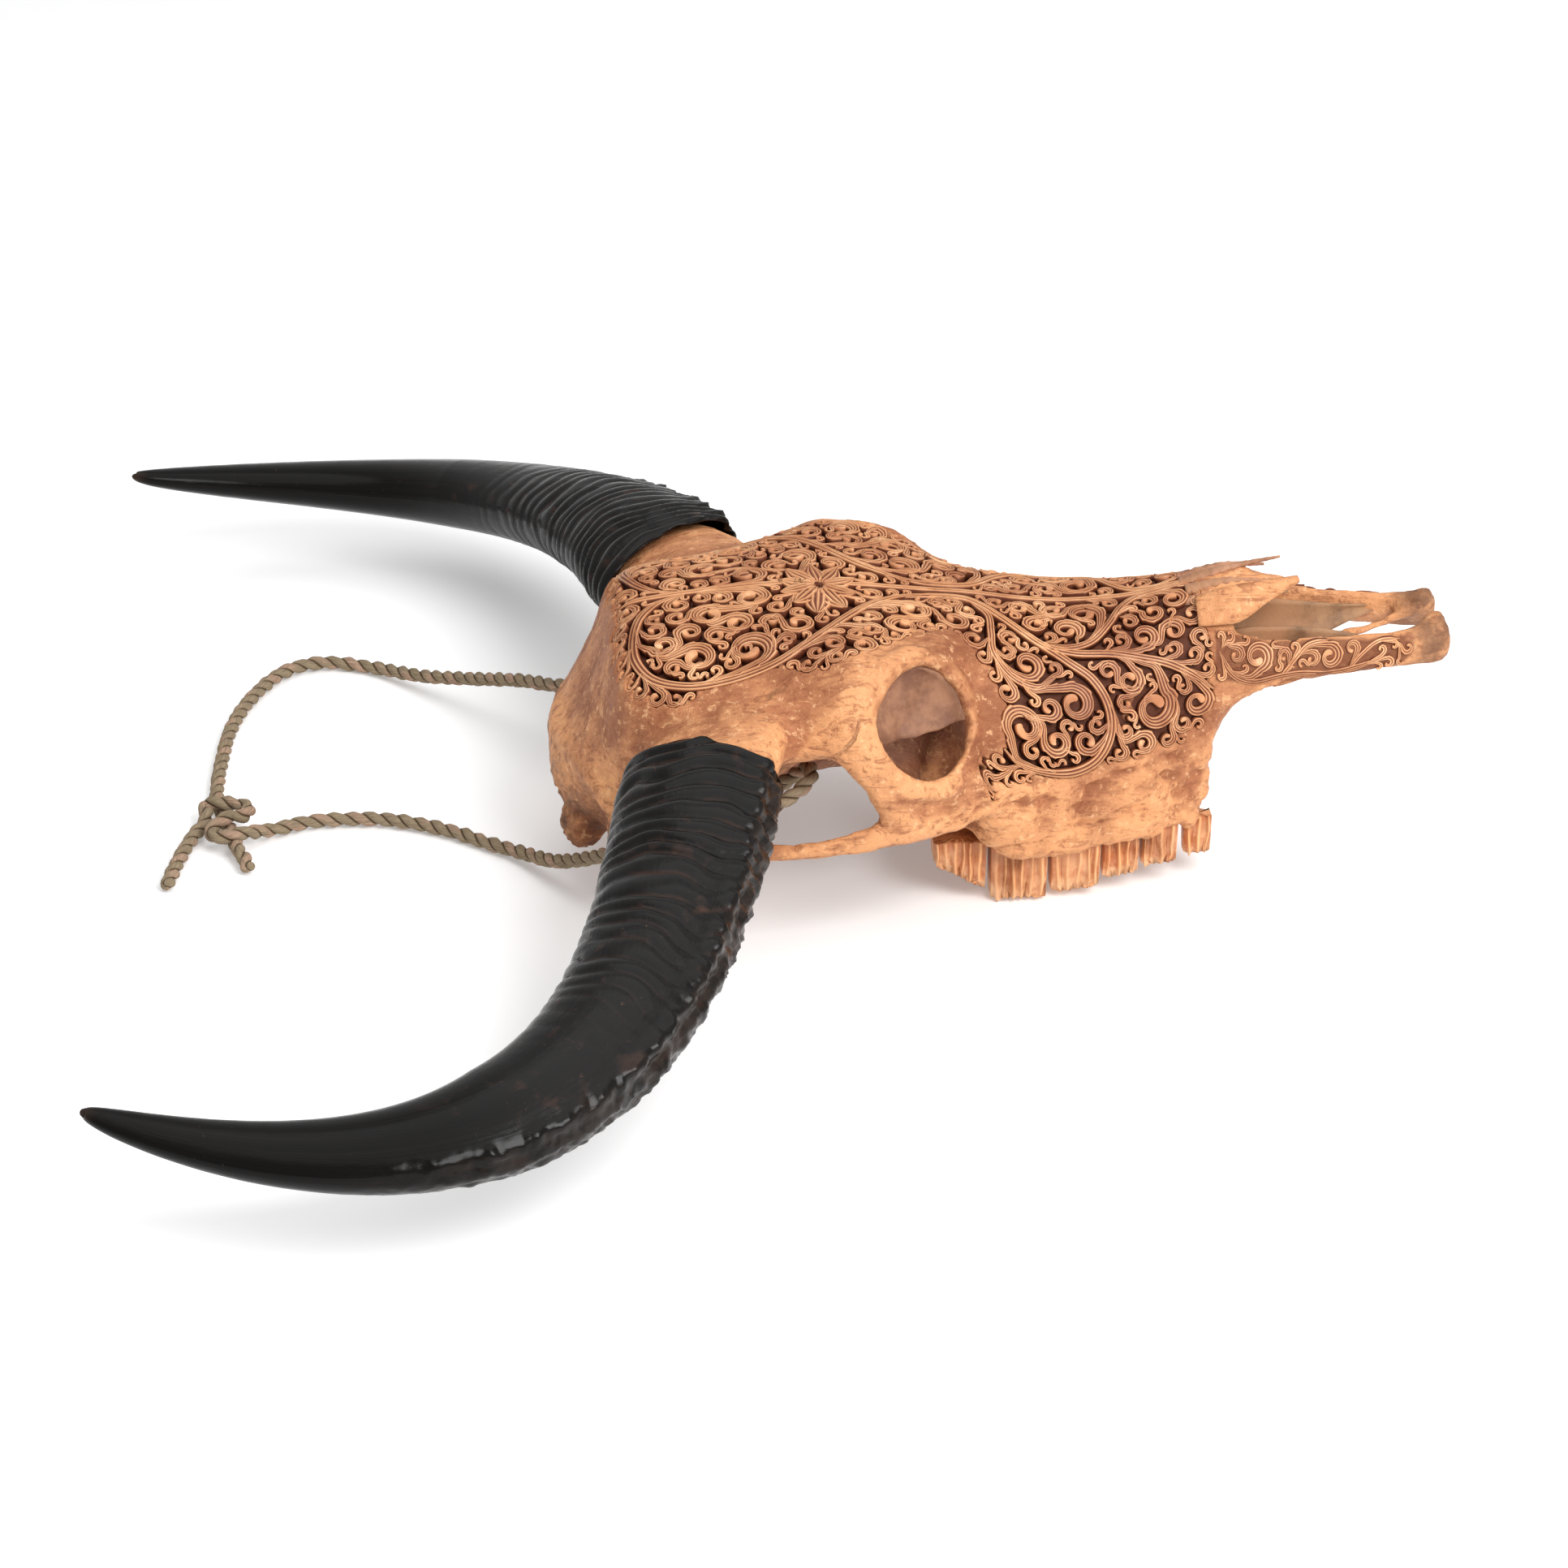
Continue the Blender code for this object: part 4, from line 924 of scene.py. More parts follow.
def lay_out_carving(side):
    """The ornament of one side. The right side holds the flower's longer petals."""
    outline = list(CARVED_OUTLINE)
    if side > 0:
        outline = [LEFT_OUTLINE.get(i, point) for i, point in enumerate(outline)]
    plan = Ornament(outline)
    middle = np.array([FLOWER[0], side * FLOWER[1]])
    for along, across, half in PETALS:
        tip = middle + np.array([along, side * across])
        if tip[1] < -2:
            continue
        half *= 1.55
        route = np.array([middle + (tip - middle) * s for s in (0.12, 0.4, 0.7, 1.0)])
        petal = smooth_route(route / 1000, 0.0012)
        share = np.linspace(0, 1, len(petal))
        widths = half / 1000 * np.clip(np.sin(math.pi * share ** 0.75) * 1.05 + 0.12, 0.08, 1)
        widths[-1] = 0.0002
        plan.add(petal, widths, 5, 0.0012)
    for width, route in STEMS:
        if side > 0 and not any(across for _, across in route):  # the midline is carved once
            plan.made_elsewhere.add(len(plan.bands))
        plan.stem(width, route)
    for x, v, radius in SCROLLS:
        plan.scroll(x / 1000, v / 1000, radius / 1000, 0.0002)
    plan.fill()
    return plan


def lay_out_bar():
    """The ornament of a muzzle bar, which both sides share."""
    plan = Ornament(BAR_OUTLINE, 0.0005, True)
    for width, route in BAR_STEMS:
        plan.stem(width, route, 0.0)
    for x, v, radius in BAR_SCROLLS:
        plan.scroll(x / 1000, v / 1000, radius / 1000)
    plan.fill(0.0026)
    return plan


def bar_sheet(tree, side):
    """The sheet on the outer face of a muzzle bar: x along it and z up."""
    xs, vs = np.arange(0.226, 0.341, 0.003), np.arange(0.100, 0.145, 0.002)
    points = np.zeros((len(xs), len(vs), 3))
    for i, x in enumerate(xs):
        hits = []
        for z in vs:
            hit = tree.ray_cast(Vector((x, side * 0.2, z)), Vector((0, -side, 0)), 0.19)
            hits.append(abs(hit[0].y) if hit[0] is not None else np.nan)
        hits = np.array(hits)
        good = ~np.isnan(hits)
        points[i, :, 0], points[i, :, 2] = x, vs
        points[i, :, 1] = side * (np.interp(vs, vs[good], hits[good]) if good.any() else 0.03)
    return Sheet(xs, vs, points, -side)


def thin_plate(name, rows, thickness, material, side=1):
    """A thin sheet of bone through rows of points, closed all round."""
    grid = np.array(rows) * (1, side, 1)
    down, across = grid.shape[:2]
    along = np.gradient(grid, axis=0)
    over = np.gradient(grid, axis=1)
    normals = np.cross(along, over)
    normals /= np.maximum(np.linalg.norm(normals, axis=2)[..., None], 1e-9)
    verts = np.concatenate([grid.reshape(-1, 3), (grid + normals * thickness).reshape(-1, 3)])
    count = down * across
    faces = []
    for i in range(down - 1):
        for k in range(across - 1):
            a = i * across + k
            faces += [(a, a + 1, a + across + 1, a + across),
                      (a + count, a + across + count, a + across + 1 + count, a + 1 + count)]
    rim = (list(range(across)) + [(i + 1) * across - 1 for i in range(1, down)]
           + [(down - 1) * across + k for k in range(across - 2, -1, -1)]
           + [i * across for i in range(down - 2, 0, -1)])
    faces += [(a, a + count, b + count, b) for a, b in zip(rim, rim[1:] + rim[:1])]
    plate = make_mesh(name, verts, faces, material)
    store_values(plate.data, "worn_and_lit", np.full(len(verts), 0.8))
    finish_piece(plate, "bone")


def nose_walls(material):
    """The thin bone inside the nose, between each bar and the palate."""
    ribs = ((0.228, 0.012, 0.099, 0.019, 0.130), (0.250, 0.010, 0.103, 0.018, 0.131),
            (0.272, 0.009, 0.105, 0.017, 0.130), (0.288, 0.011, 0.108, 0.017, 0.128),
            (0.300, 0.014, 0.113, 0.018, 0.126), (0.312, 0.018, 0.117, 0.021, 0.124),
            (0.326, 0.024, 0.119, 0.025, 0.122))
    for side, hand in ((-1, "right"), (1, "left")):
        rows = []
        for x, low_y, low_z, high_y, high_z in ribs:
            share = np.linspace(0, 1, 10)
            y = low_y + (high_y - low_y) * share ** 1.4 + np.sin(math.pi * share) * 0.0030
            rows.append(np.stack([np.full(10, x), y, low_z + (high_z - low_z) * share], 1))
        thin_plate("nose_wall_" + hand, rows, 0.0012, material, side)


def nasal_plates(material):
    """The smooth pointed end of each nose bone, beyond the carving."""
    top = smooth_route(((0.2190, 0.0240, 0.1535), (0.2450, 0.0195, 0.1560),
                        (0.2735, 0.0140, 0.1560)), 0.0030)
    low = smooth_route(((0.2190, 0.0375, 0.1430), (0.2390, 0.0330, 0.1405),
                        (0.2560, 0.0240, 0.1480), (0.2735, 0.0150, 0.1552)), 0.0030)
    count = min(len(top), len(low))
    top = top[np.linspace(0, len(top) - 1, count).round().astype(int)]
    low = low[np.linspace(0, len(low) - 1, count).round().astype(int)]
    share = np.linspace(0, 1, 9)[None, :, None]
    rows = top[:, None] * (1 - share) + low[:, None] * share
    rows = rows + np.sin(math.pi * share) * (0, 0.0016, 0.0010)
    sunk = np.linspace(0, 1, count)[:, None, None]
    rows = rows - (1 - ramp(sunk, 0.0, 0.30)) * (0, 0.0050, 0.0042)
    thin_plate("nasal_plate_right", rows, -0.0016, material, -1)
    left = int(count * 0.6)
    stub = rows[:left] - np.array((0, 0.0016, 0.0034)) * (1 + 1.6 * sunk[:left])
    thin_plate("nasal_plate_left", stub, -0.0016, material, 1)


def socket_walls(material):
    """The smooth shelf of bone in the upper part of each eye socket."""
    centre, facing = np.array(ORBIT_CENTRE), np.array(ORBIT_FACING)
    facing /= np.linalg.norm(facing)
    along = np.cross((0, 0, 1.0), facing)
    along /= np.linalg.norm(along)
    upward = np.cross(facing, along)
    radius = ORBIT_RADIUS
    rows = []
    for i in range(22):
        high = radius * (-0.20 + 1.17 * i / 21)
        half = math.sqrt(max(radius ** 2 - high ** 2, 1e-8))
        side_way = np.linspace(-1, 1, 31) * half
        dip = 0.004 + 0.0165 * np.clip(1 - (side_way ** 2 + high ** 2) / radius ** 2, 0, 1) ** 0.62
        wave = (0.0004 * np.sin(side_way * 420) * (1 - i / 21)
                + 0.0006 * np.sin(side_way * 170 + i * 0.4))
        place = (centre + along * side_way[:, None] + upward * (high + wave)[:, None]
                 - facing * (dip + wave)[:, None])
        rows.append(place)
    for side, hand in ((-1, "right"), (1, "left")):
        thin_plate("socket_wall_" + hand, rows, 0.0018, material, side)


def thin_bone_material(name, dark, pale):
    """Thin smooth bone, as inside the nose and the eye sockets."""
    made, g, shader = new_material(name)
    grain = add_grain(g)[1]
    colour = g.layers(
        g.mix(g.span(grain["Mottle"], 0.36, 0.64), dark, pale),
        (g.span(grain["Blotch"], 0.50, 0.66), 1.0, (0.42, 0.205, 0.095)),
        (grain["Cracks"], 0.7, (0.16, 0.06, 0.03)))
    join(g, shader, Base_Color=colour, Normal=g.bump(grain["Height"], 0.0012, 0.7),
         Roughness=g.span(grain["Mottle"], 0.3, 0.7, 0.6, 0.75))
    return made


def carving_depth(x):
    """How deep the ground is cut, which is less towards the thin bone of the nose."""
    return np.interp(x, (0.14, 0.20, 0.225), (0.0052, 0.0036, 0.0026))


def place_on_sheet(sheet, points):
    """For points: their x and signed v on the sheet, how far outside they lie, and if known."""
    x = points[:, 0]
    height = axis_height(x)
    turn = np.arctan2(points[:, 1], points[:, 2] - height)
    radius = np.hypot(points[:, 1], points[:, 2] - height)
    half = (turn >= 0).astype(int)
    angle = np.degrees(np.abs(turn)) / CHART_TURN
    i = np.clip((x - sheet.xs[0]) / CHART_STEP, 0, len(sheet.xs) - 1.001)
    k = np.clip(angle, 0, len(sheet.turns) - 1.001)
    a, b = i.astype(int), k.astype(int)
    p, q = i - a, k - b
    found = []
    for table in (sheet.rounds, sheet.reach):
        found.append((table[a, half, b] * (1 - p) + table[a + 1, half, b] * p) * (1 - q)
                     + (table[a, half, b + 1] * (1 - p) + table[a + 1, half, b + 1] * p) * q)
    inside = (x > sheet.xs[0]) & (x < sheet.xs[-1]) & (angle < 60)
    return x, np.where(half == 1, 1, -1) * found[0], radius - found[1], inside


def smooth_skull(look):
    """A finer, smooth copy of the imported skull."""
    copy = link_object("carved_skull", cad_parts["skull"].data.copy())
    copy.data.materials.clear()
    shape = bmesh.new()
    shape.from_mesh(copy.data)
    bmesh.ops.remove_doubles(shape, verts=shape.verts, dist=0.00001)
    shape.to_mesh(copy.data)
    shape.free()
    deselect()
    bpy.context.view_layer.objects.active = copy
    copy.select_set(True)
    grow = copy.modifiers.new("even skin", "REMESH")
    grow.mode = "VOXEL"
    grow.voxel_size = look.skin_size
    even = copy.modifiers.new("no facets", "SMOOTH")
    even.factor = 0.5
    even.iterations = 8
    for label in ("even skin", "no facets"):
        bpy.ops.object.modifier_apply(modifier=label)
    return copy


def skin_tree(mesh):
    """A mesh in the form that lines can be cast at."""
    return BVHTree.FromPolygons([Vector(p) for p in mesh_points(mesh)],
                                [tuple(f.vertices) for f in mesh.polygons])


def convexity(mesh, rounds):
    """How much each point stands out from its neighbours, in metres, smoothed a little."""
    points = mesh_points(mesh)
    edges = np.zeros(len(mesh.edges) * 2, dtype=int)
    mesh.edges.foreach_get("vertices", edges)
    edges = edges.reshape(-1, 2)
    count = np.bincount(edges.ravel(), minlength=len(points)).astype(float)
    soft = points.copy()
    for _ in range(rounds):
        total = np.zeros_like(soft)
        for k in range(3):
            total[:, k] = (np.bincount(edges[:, 0], soft[edges[:, 1], k], len(points))
                           + np.bincount(edges[:, 1], soft[edges[:, 0], k], len(points)))
        soft = total / np.maximum(count, 1)[:, None]
    return ((points - soft) * mesh_normals(mesh)).sum(1)


def border_distance(plans, x, v, within=None):
    """The distance from the border of the carving on a place's own side, or within it."""
    distance = np.full(len(x), 1.0)
    for side, plan in plans.items():
        table = plan.edge if within is None else np.where(plan.inside, within, plan.edge)
        here = (v * side >= 0) & (x > plan.x[0]) & (x < plan.x[-1]) & (np.abs(v) < plan.v[-1])
        distance[here] = read_table(table, plan.x, plan.v, x[here], np.abs(v[here]))
    return distance


def refine_border(mesh, sheet, plans):
    """Divides the skull's faces near the carving's border, so that its scallops come out."""
    for width in (0.0075, 0.0045):
        x, v, outside, known = place_on_sheet(sheet, mesh_points(mesh))
        near = known & (np.abs(outside) < SKIN_REACH) & (border_distance(plans, x, v) < width)
        shape = bmesh.new()
        shape.from_mesh(mesh)
        edges = [e for e in shape.edges if near[e.verts[0].index] and near[e.verts[1].index]]
        bmesh.ops.subdivide_edges(shape, edges=edges, cuts=1, use_grid_fill=True)
        shape.to_mesh(mesh)
        shape.free()
    mesh.polygons.foreach_set("use_smooth", [True] * len(mesh.polygons))
    mesh.update()


def rough_bone(points, keep):
    """How far old bone stands up at each point: lumpy over the teeth, pitted at the back."""
    x, _, z = points.T
    cheek = ramp(x, 0.060, 0.095) * (1 - ramp(x, 0.215, 0.240)) * (1 - ramp(z, 0.070, 0.095))
    behind = 1 - ramp(x, -0.085, -0.060)
    low_back = behind * (1 - ramp(z, 0.055, 0.085))
    broad = noise_at(points, 34.0, 1.0, 3)
    fine = noise_at(points, 150.0, 2.0, 3)
    stretched = noise_at(points * (0.45, 1.0, 1.3), 105.0, 4.0, 2)
    height = 0.0008 * broad + 0.00030 * fine
    height += cheek * (0.0026 * broad + 0.0022 * stretched - 0.0018 * ramp(-stretched, 0.05, 0.5))
    height += low_back * (0.0026 * fine - 0.0030 * ramp(fine, 0.10, 0.5)
                          - 0.0010 * ramp(broad, 0.0, 0.5))
    return height * keep


def round_socket(points, side):
    """One eye socket's facing, and for points how far out of it and away from its middle."""
    facing = np.array(ORBIT_FACING) * (1, side, 1)
    facing /= np.linalg.norm(facing)
    away = points - np.array(ORBIT_CENTRE) * (1, side, 1)
    out = away @ facing
    return facing, out, away - out[:, None] * facing


def flatten_rims(points):
    """Presses the eye sockets' rims down, most at the front, where they run into the cheek."""
    moved = np.zeros_like(points)
    for side in (-1, 1):
        facing, out, across = round_socket(points, side)
        distance = np.linalg.norm(across, axis=1)
        forward = across[:, 0] / np.maximum(distance, 1e-6)
        press = 0.0034 + 0.0030 * ramp(forward, -0.4, 0.9) - 0.0014 * ramp(-forward, 0.3, 0.9)
        share = np.exp(-((distance - 0.0350) / 0.0062) ** 2) * (1 - ramp(np.abs(out), 0.010, 0.016))
        moved += (press * share)[:, None] * facing
    return moved


def splinter(name, route, wide, thin, material, seed):
    """A thin broken flake of bone that narrows along its route."""
    line = smooth_route(route, 0.0012)
    count, sides = len(line), 10
    angle = np.arange(sides) * 2 * math.pi / sides
    rows = []
    for i, p in enumerate(line):
        share = i / (count - 1)
        w = wide * (1 - 0.86 * share) * (1 + 0.16 * math.sin(i * 1.3 + seed))
        t = thin * (1 - 0.72 * share) * (1 + 0.12 * math.sin(i * 2.1 + seed))
        rows.append(p + np.stack([np.zeros(sides), np.cos(angle) * w, np.sin(angle) * t], 1))
    faces = tube_faces(count, sides)
    faces += [tuple(range(sides)), tuple((count - 1) * sides + k for k in range(sides))]
    finish_piece(make_mesh(name, np.vstack(rows), faces, material), "bone")


def shape_bone(mesh, sheet, plans):
    """Cuts the carving's ground down, roughens the bare bone, and marks both for the material."""
    points, normals = mesh_points(mesh), mesh_normals(mesh)
    standing = convexity(mesh, 14)
    x, v, outside, known = place_on_sheet(sheet, points)
    on_skin = known & (np.abs(outside) < SKIN_REACH)
    cut = np.zeros(len(points))
    for side, plan in plans.items():
        ours = on_skin & (v * side >= 0)
        cut[ours] = plan.recess(x[ours], np.abs(v[ours]))
    out_way = sheet.place(x, v, np.ones(len(x))) - sheet.place(x, v, np.zeros(len(x)))
    cut *= ramp((out_way * normals).sum(1), 0.15, 0.5)
    calm = np.where(on_skin, ramp(border_distance(plans, x, v, 0.0), 0.0, 0.006), 1.0)
    lumps = rough_bone(points, ramp(points[:, 2], 0.0005, 0.006) * calm)
    pressed = flatten_rims(points)
    rims = np.linalg.norm(pressed, axis=1) / 0.0064
    points = points + normals * lumps[:, None] - pressed
    points = points - out_way * (cut * carving_depth(x))[:, None]
    points[:, 2] = np.maximum(points[:, 2], 0.0)
    set_points(mesh, points)
    px, py, pz = points.T
    # Paler over the eyes, above the teeth, on the muzzle bars and at the back of the head; above
    # the teeth this is painted light on the cheek
    pale = ramp(px, 0.020, 0.040) * (1 - ramp(px, 0.058, 0.075)) * ramp(pz, 0.100, 0.125)
    pale += ramp(px, 0.085, 0.110) * (1 - ramp(px, 0.200, 0.225)) * (1 - ramp(pz, 0.070, 0.090))
    pale += ramp(px, 0.222, 0.232) * ramp(pz, 0.100, 0.120) * 0.6
    pale += ((1 - ramp(px, -0.088, -0.066)) * ramp(pz, 0.030, 0.050)
             * (1 - ramp(pz, 0.085, 0.105)) * 1.3)
    # Paler where the bone stands out or is lumpy, partly wear and partly painted highlight, and
    # less pale on the pressed eye rims
    worn_and_lit = 0.5 + standing / 0.0030 + lumps / 0.006 + 0.30 * pale - 0.50 * rims
    bar_outline = np.array(BAR_OUTLINE) / 1000
    # The ground among the bars' relief bands, where the material paints shade
    bar_ground_shade = (inside_outline(bar_outline, px, pz)
                  * ramp(outline_distance(bar_outline, px, pz, False), 0.0, 0.002)
                  * ramp(np.abs(normals[:, 1]), 0.2, 0.5)
                  * ramp(normals[:, 1] * np.sign(py), 0.0, 0.3))
    # The marks for hollows, down-facing surfaces and the carved and bar ground tell the material
    # where to paint shade
    for label, values in (
            ("worn_and_lit", np.clip(worn_and_lit, 0, 1)), ("carved_ground_shade", cut),
            ("hollow", hollow_share(points, normals)), ("under", ramp(-normals[:, 2], 0.2, 0.9)),
            ("muzzle", ramp(px, 0.326, 0.344)), ("bar_ground_shade", bar_ground_shade),
            ("pitted", (1 - ramp(px, -0.100, -0.078)) * (1 - ramp(pz, 0.05, 0.09)))):
        store_values(mesh, label, values)


def build_skull(look):
    """The skull itself, with the ground of its carving cut down, and the carving on it."""
    skull = smooth_skull(look)
    sheet = head_sheet(skin_tree(skull.data))
    plans = {side: lay_out_carving(side) for side in (-1, 1)}
    refine_border(skull.data, sheet, plans)
    shape_bone(skull.data, sheet, plans)
    plain = bone_material(look)
    skull.data.materials.append(plain)
    finish_piece(skull, "bone", "skull")
    carved = carved_material(look)
    for side, name in ((-1, "scrolls_right"), (1, "scrolls_left")):
        piece = bands_to_mesh(name, sheet, plans[side], side,
                              lambda at: carving_depth(at) + 0.0006, carved, 11 + side)
        finish_piece(piece, "bone")
    nose_walls(thin_bone_material("thin bone", (0.20, 0.100, 0.045), (0.40, 0.220, 0.110)))
    socket_walls(thin_bone_material("socket bone", (0.190, 0.078, 0.040), (0.370, 0.180, 0.098)))
    nasal_plates(plain)
    skin = skin_tree(skull.data)
    bar = lay_out_bar()
    for side, name in ((-1, "bar_scrolls_right"), (1, "bar_scrolls_left")):
        relief = bands_to_mesh(name, bar_sheet(skin, side), bar, 1, lambda at: 0.0013 + 0 * at,
                               carved, 31 + side, 0.0015)
        finish_piece(relief, "bone")
    grey = thin_bone_material("weathered flake", (0.23, 0.085, 0.045), (0.50, 0.255, 0.150))
    for number, (*route, wide, thin) in enumerate(FLAKES, start=1):
        splinter("nose_splinter_%d" % number, route, wide, thin, grey, number)


def hollow_share(points, normals):
    """1 deep inside the eye sockets and the nose, and 0 on the outside: where the bone material
    paints shade.
    """
    share = np.zeros(len(points))
    for side in (-1, 1):
        _, out, across = round_socket(points, side)
        distance = np.linalg.norm(across, axis=1)
        deep = ramp(-out, 0.001, 0.010) * (1 - ramp(distance, ORBIT_RADIUS, 0.038))
        share = np.maximum(share, deep)
    nose = ramp(points[:, 0], 0.19, 0.23) * ramp(0.036 - np.abs(points[:, 1]), 0.0, 0.012)
    nose *= ramp(points[:, 2], 0.085, 0.10) * ramp(-normals[:, 2], 0.0, 0.5) * 0.6
    return np.maximum(share, nose)


def horn_centre(s):
    """Points of the left horn's centre line for shares along it."""
    given = np.asarray(HORN_ROUTE)
    last = len(given) - 1
    s = np.asarray(s, dtype=float)
    return sum((math.comb(last, i) * (1 - s) ** (last - i) * s ** i)[..., None] * p
               for i, p in enumerate(given))


def read_evenly(values, share):
    return np.interp(share, np.linspace(0, 1, len(values)), values)


def horn_place(s, angle, inset=0.0, relief=0.0):
    """Points of the left horn's surface for shares along it and turns round it."""
    ahead = horn_centre(s + 0.001) - horn_centre(s - 0.001)
    ahead /= np.linalg.norm(ahead, axis=-1)[..., None]
    ahead = ahead * (1, -1, 1)
    flat = np.cross((0, 0, 1.0), ahead)
    flat /= np.linalg.norm(flat, axis=-1)[..., None]
    over = np.cross(ahead, flat)
    twist = np.radians(read_evenly(HORN_TWIST, np.clip(s, 0, 1)))[..., None]
    front = flat * np.cos(twist) + over * np.sin(twist)
    top = over * np.cos(twist) - flat * np.sin(twist)
    corner = 1 + 0.07 * np.exp(-(((np.degrees(angle) + 180) % 360 - 180 - 20) / 22) ** 2)
    wide = read_evenly(HORN_WIDE, np.clip(s, 0, 1)) - inset
    thin = read_evenly(HORN_THIN, np.clip(s, 0, 1)) - inset
    offset = (front * (np.cos(angle) * (wide * corner + relief))[..., None]
              + top * (np.sin(angle) * (thin * corner + relief))[..., None])
    return horn_centre(s) + offset * (1, -1, 1)


def horn_piece(name, side, look, material):
    """A hollow black sheath: wavy rings by its mouth, crinkled in front, smooth at the point."""
    rows, cols = 430, 84
    seed = 3.0 if side < 0 else 8.0
    angle = np.arange(cols) * 2 * math.pi / cols
    mouth, facing = np.array(SHEATH_MOUTH), np.array(SHEATH_FACING)
    tries = np.linspace(-0.13, 0.12, 80)
    start = np.zeros(cols)
    for k, a in enumerate(angle):
        depth = (horn_place(tries, np.full(80, a)) - mouth) @ facing
        start[k] = np.interp(0.0, -depth, tries)
    ring = np.stack([np.cos(angle) * 2.2, np.sin(angle) * 2.2, np.full(cols, seed)], 1)
    lip = noise_at(ring, 1.0, seed)
    start += 0.0022 * lip + 0.0010 * np.sin(angle * 9 + seed)
    s = start[None, :] + (1 - start[None, :]) * np.linspace(0, 1, rows)[:, None]
    turns = np.broadcast_to(angle, s.shape)
    centre_line = horn_centre(np.linspace(-0.13, 1, 400))
    gone = np.concatenate([[0], np.cumsum(step_lengths(centre_line))])
    along = np.interp(s, np.linspace(-0.13, 1, 400), gone)
    along = along - along[0].mean()
    around = np.stack([np.cos(turns), np.sin(turns)], -1)

    def rough(stretch, swirl, number, octaves):
        """Noise with its own scale along the horn and round it."""
        field = np.concatenate([along[..., None] * stretch, around * swirl], -1).reshape(-1, 3)
        return noise_at(field, 1.0, seed + number, octaves).reshape(s.shape)

    sway, fine, crinkle = rough(18, 0.9, 0, 2), rough(95, 1.4, 1, 3), rough(120, 3.6, 2, 3)
    phase = (along / look.ring_spacing + 0.85 * sway + 0.16 * np.sin(turns * 2 + seed)
             + 0.07 * np.sin(turns * 5))
    valley = np.abs(np.sin(math.pi * phase))
    ringed = 1 - ramp(along, 0.10, 0.25)
    each_ring = np.stack([np.floor(phase).ravel() * 1.7, np.zeros(s.size), np.zeros(s.size)], 1)
    strength = 0.75 + 0.7 * noise_at(each_ring, 1.0, seed).reshape(s.shape)
    relief = (look.ring_height * ringed * strength * (0.7 + 0.5 * (1 - ramp(along, 0.0, 0.09)))
              * (valley - 0.64))
    relief += 0.00050 * fine * (0.12 + 0.88 * ringed)
    degrees = (np.degrees(turns) + 180) % 360 - 180
    front_face = ramp(degrees, -95, -60) * (1 - ramp(degrees, 20, 36))
    length_share = 1 - ramp(along, 0.22, 0.37)
    relief += 0.0022 * crinkle * front_face * length_share
    crease = np.exp(-((degrees - 32) / 7) ** 2) * length_share * ramp(along, 0.004, 0.030)
    relief += (0.0026 * crease * (0.7 + crinkle)
               - 0.0024 * np.exp(-((degrees - 15) / 8) ** 2) * length_share)
    relief -= 0.0008 * (1 - ramp(along, 0.0, 0.006))
    taper = 1 - ramp(s, 0.90, 1.0) * 0.9
    outer = horn_place(s, turns, 0.0, relief * taper)
    inner_share = np.linspace(0, 1, 26)
    inner_s = start[None, :] + (0.27 - start[None, :]) * inner_share[:, None]
    inner_turns = np.broadcast_to(angle, inner_s.shape)
    wall = SHEATH_WALL * (0.55 + 0.45 * ramp(inner_share, 0.0, 0.08))[:, None]
    closing = ramp(inner_s, 0.20, 0.27) * 0.030
    inner = horn_place(inner_s, inner_turns, wall + closing)
    points = np.concatenate([inner[::-1], outer], 0)
    tip_point = horn_centre(np.array([1.0]))[0]
    verts = np.vstack([points.reshape(-1, 3), tip_point, inner[-1].mean(0)]) * (1, side, 1)
    faces = tube_faces(len(points), cols)
    last = (len(points) - 1) * cols
    faces += [(last + k, last + (k + 1) % cols, len(verts) - 2) for k in range(cols)]
    faces += [((k + 1) % cols, k, len(verts) - 1) for k in range(cols)]
    sheath = make_mesh(name, verts, faces, material)
    around_inner = np.stack([np.cos(inner_turns), np.sin(inner_turns)], -1)
    lay = np.concatenate([np.concatenate([np.zeros(inner_s.shape), along])[..., None],
                          np.concatenate([around_inner, around])], -1).reshape(-1, 3)
    store_vectors(sheath.data, "lay", np.vstack([lay, [[along.max(), 0, 0], [0, 0, 0]]]))
    crinkled = front_face * length_share
    # groove: 1 in the ring valleys and crinkle furrows, where the material puts dirt and keeps the
    # black of painted shade
    groove = np.maximum(ringed * (1 - ramp(valley, 0.12, 0.45)),
                        crinkled * ramp(-crinkle, 0.05, 0.4) * 0.8)
    # Each mark: its value on the inner wall, on the outer one, at the point and on the inner end
    for label, inner_value, outer_values, ends in (
            ("groove", 0.3, groove, (0.0, 1.0)),
            ("crinkled", 0.0, crinkled, (0.0, 0.0)),
            ("rough_end", 1.0, np.maximum(1 - ramp(along, 0.22, 0.34), crinkled * 0.9), (0.0, 1.0)),
            ("tip", 0.0, ramp(s, 0.93, 1.0), (1.0, 0.0))):
        store_values(sheath.data, label, np.concatenate(
            [np.full(inner_s.size, inner_value), outer_values.ravel(), ends]))
    return sheath


def build_horns(look):
    material = horn_material(look)
    for side, hand in ((-1, "right"), (1, "left")):
        sheath = horn_piece("sheath_" + hand, side, look, material)
        finish_piece(sheath, "horn", "horn_sheath_" + hand)


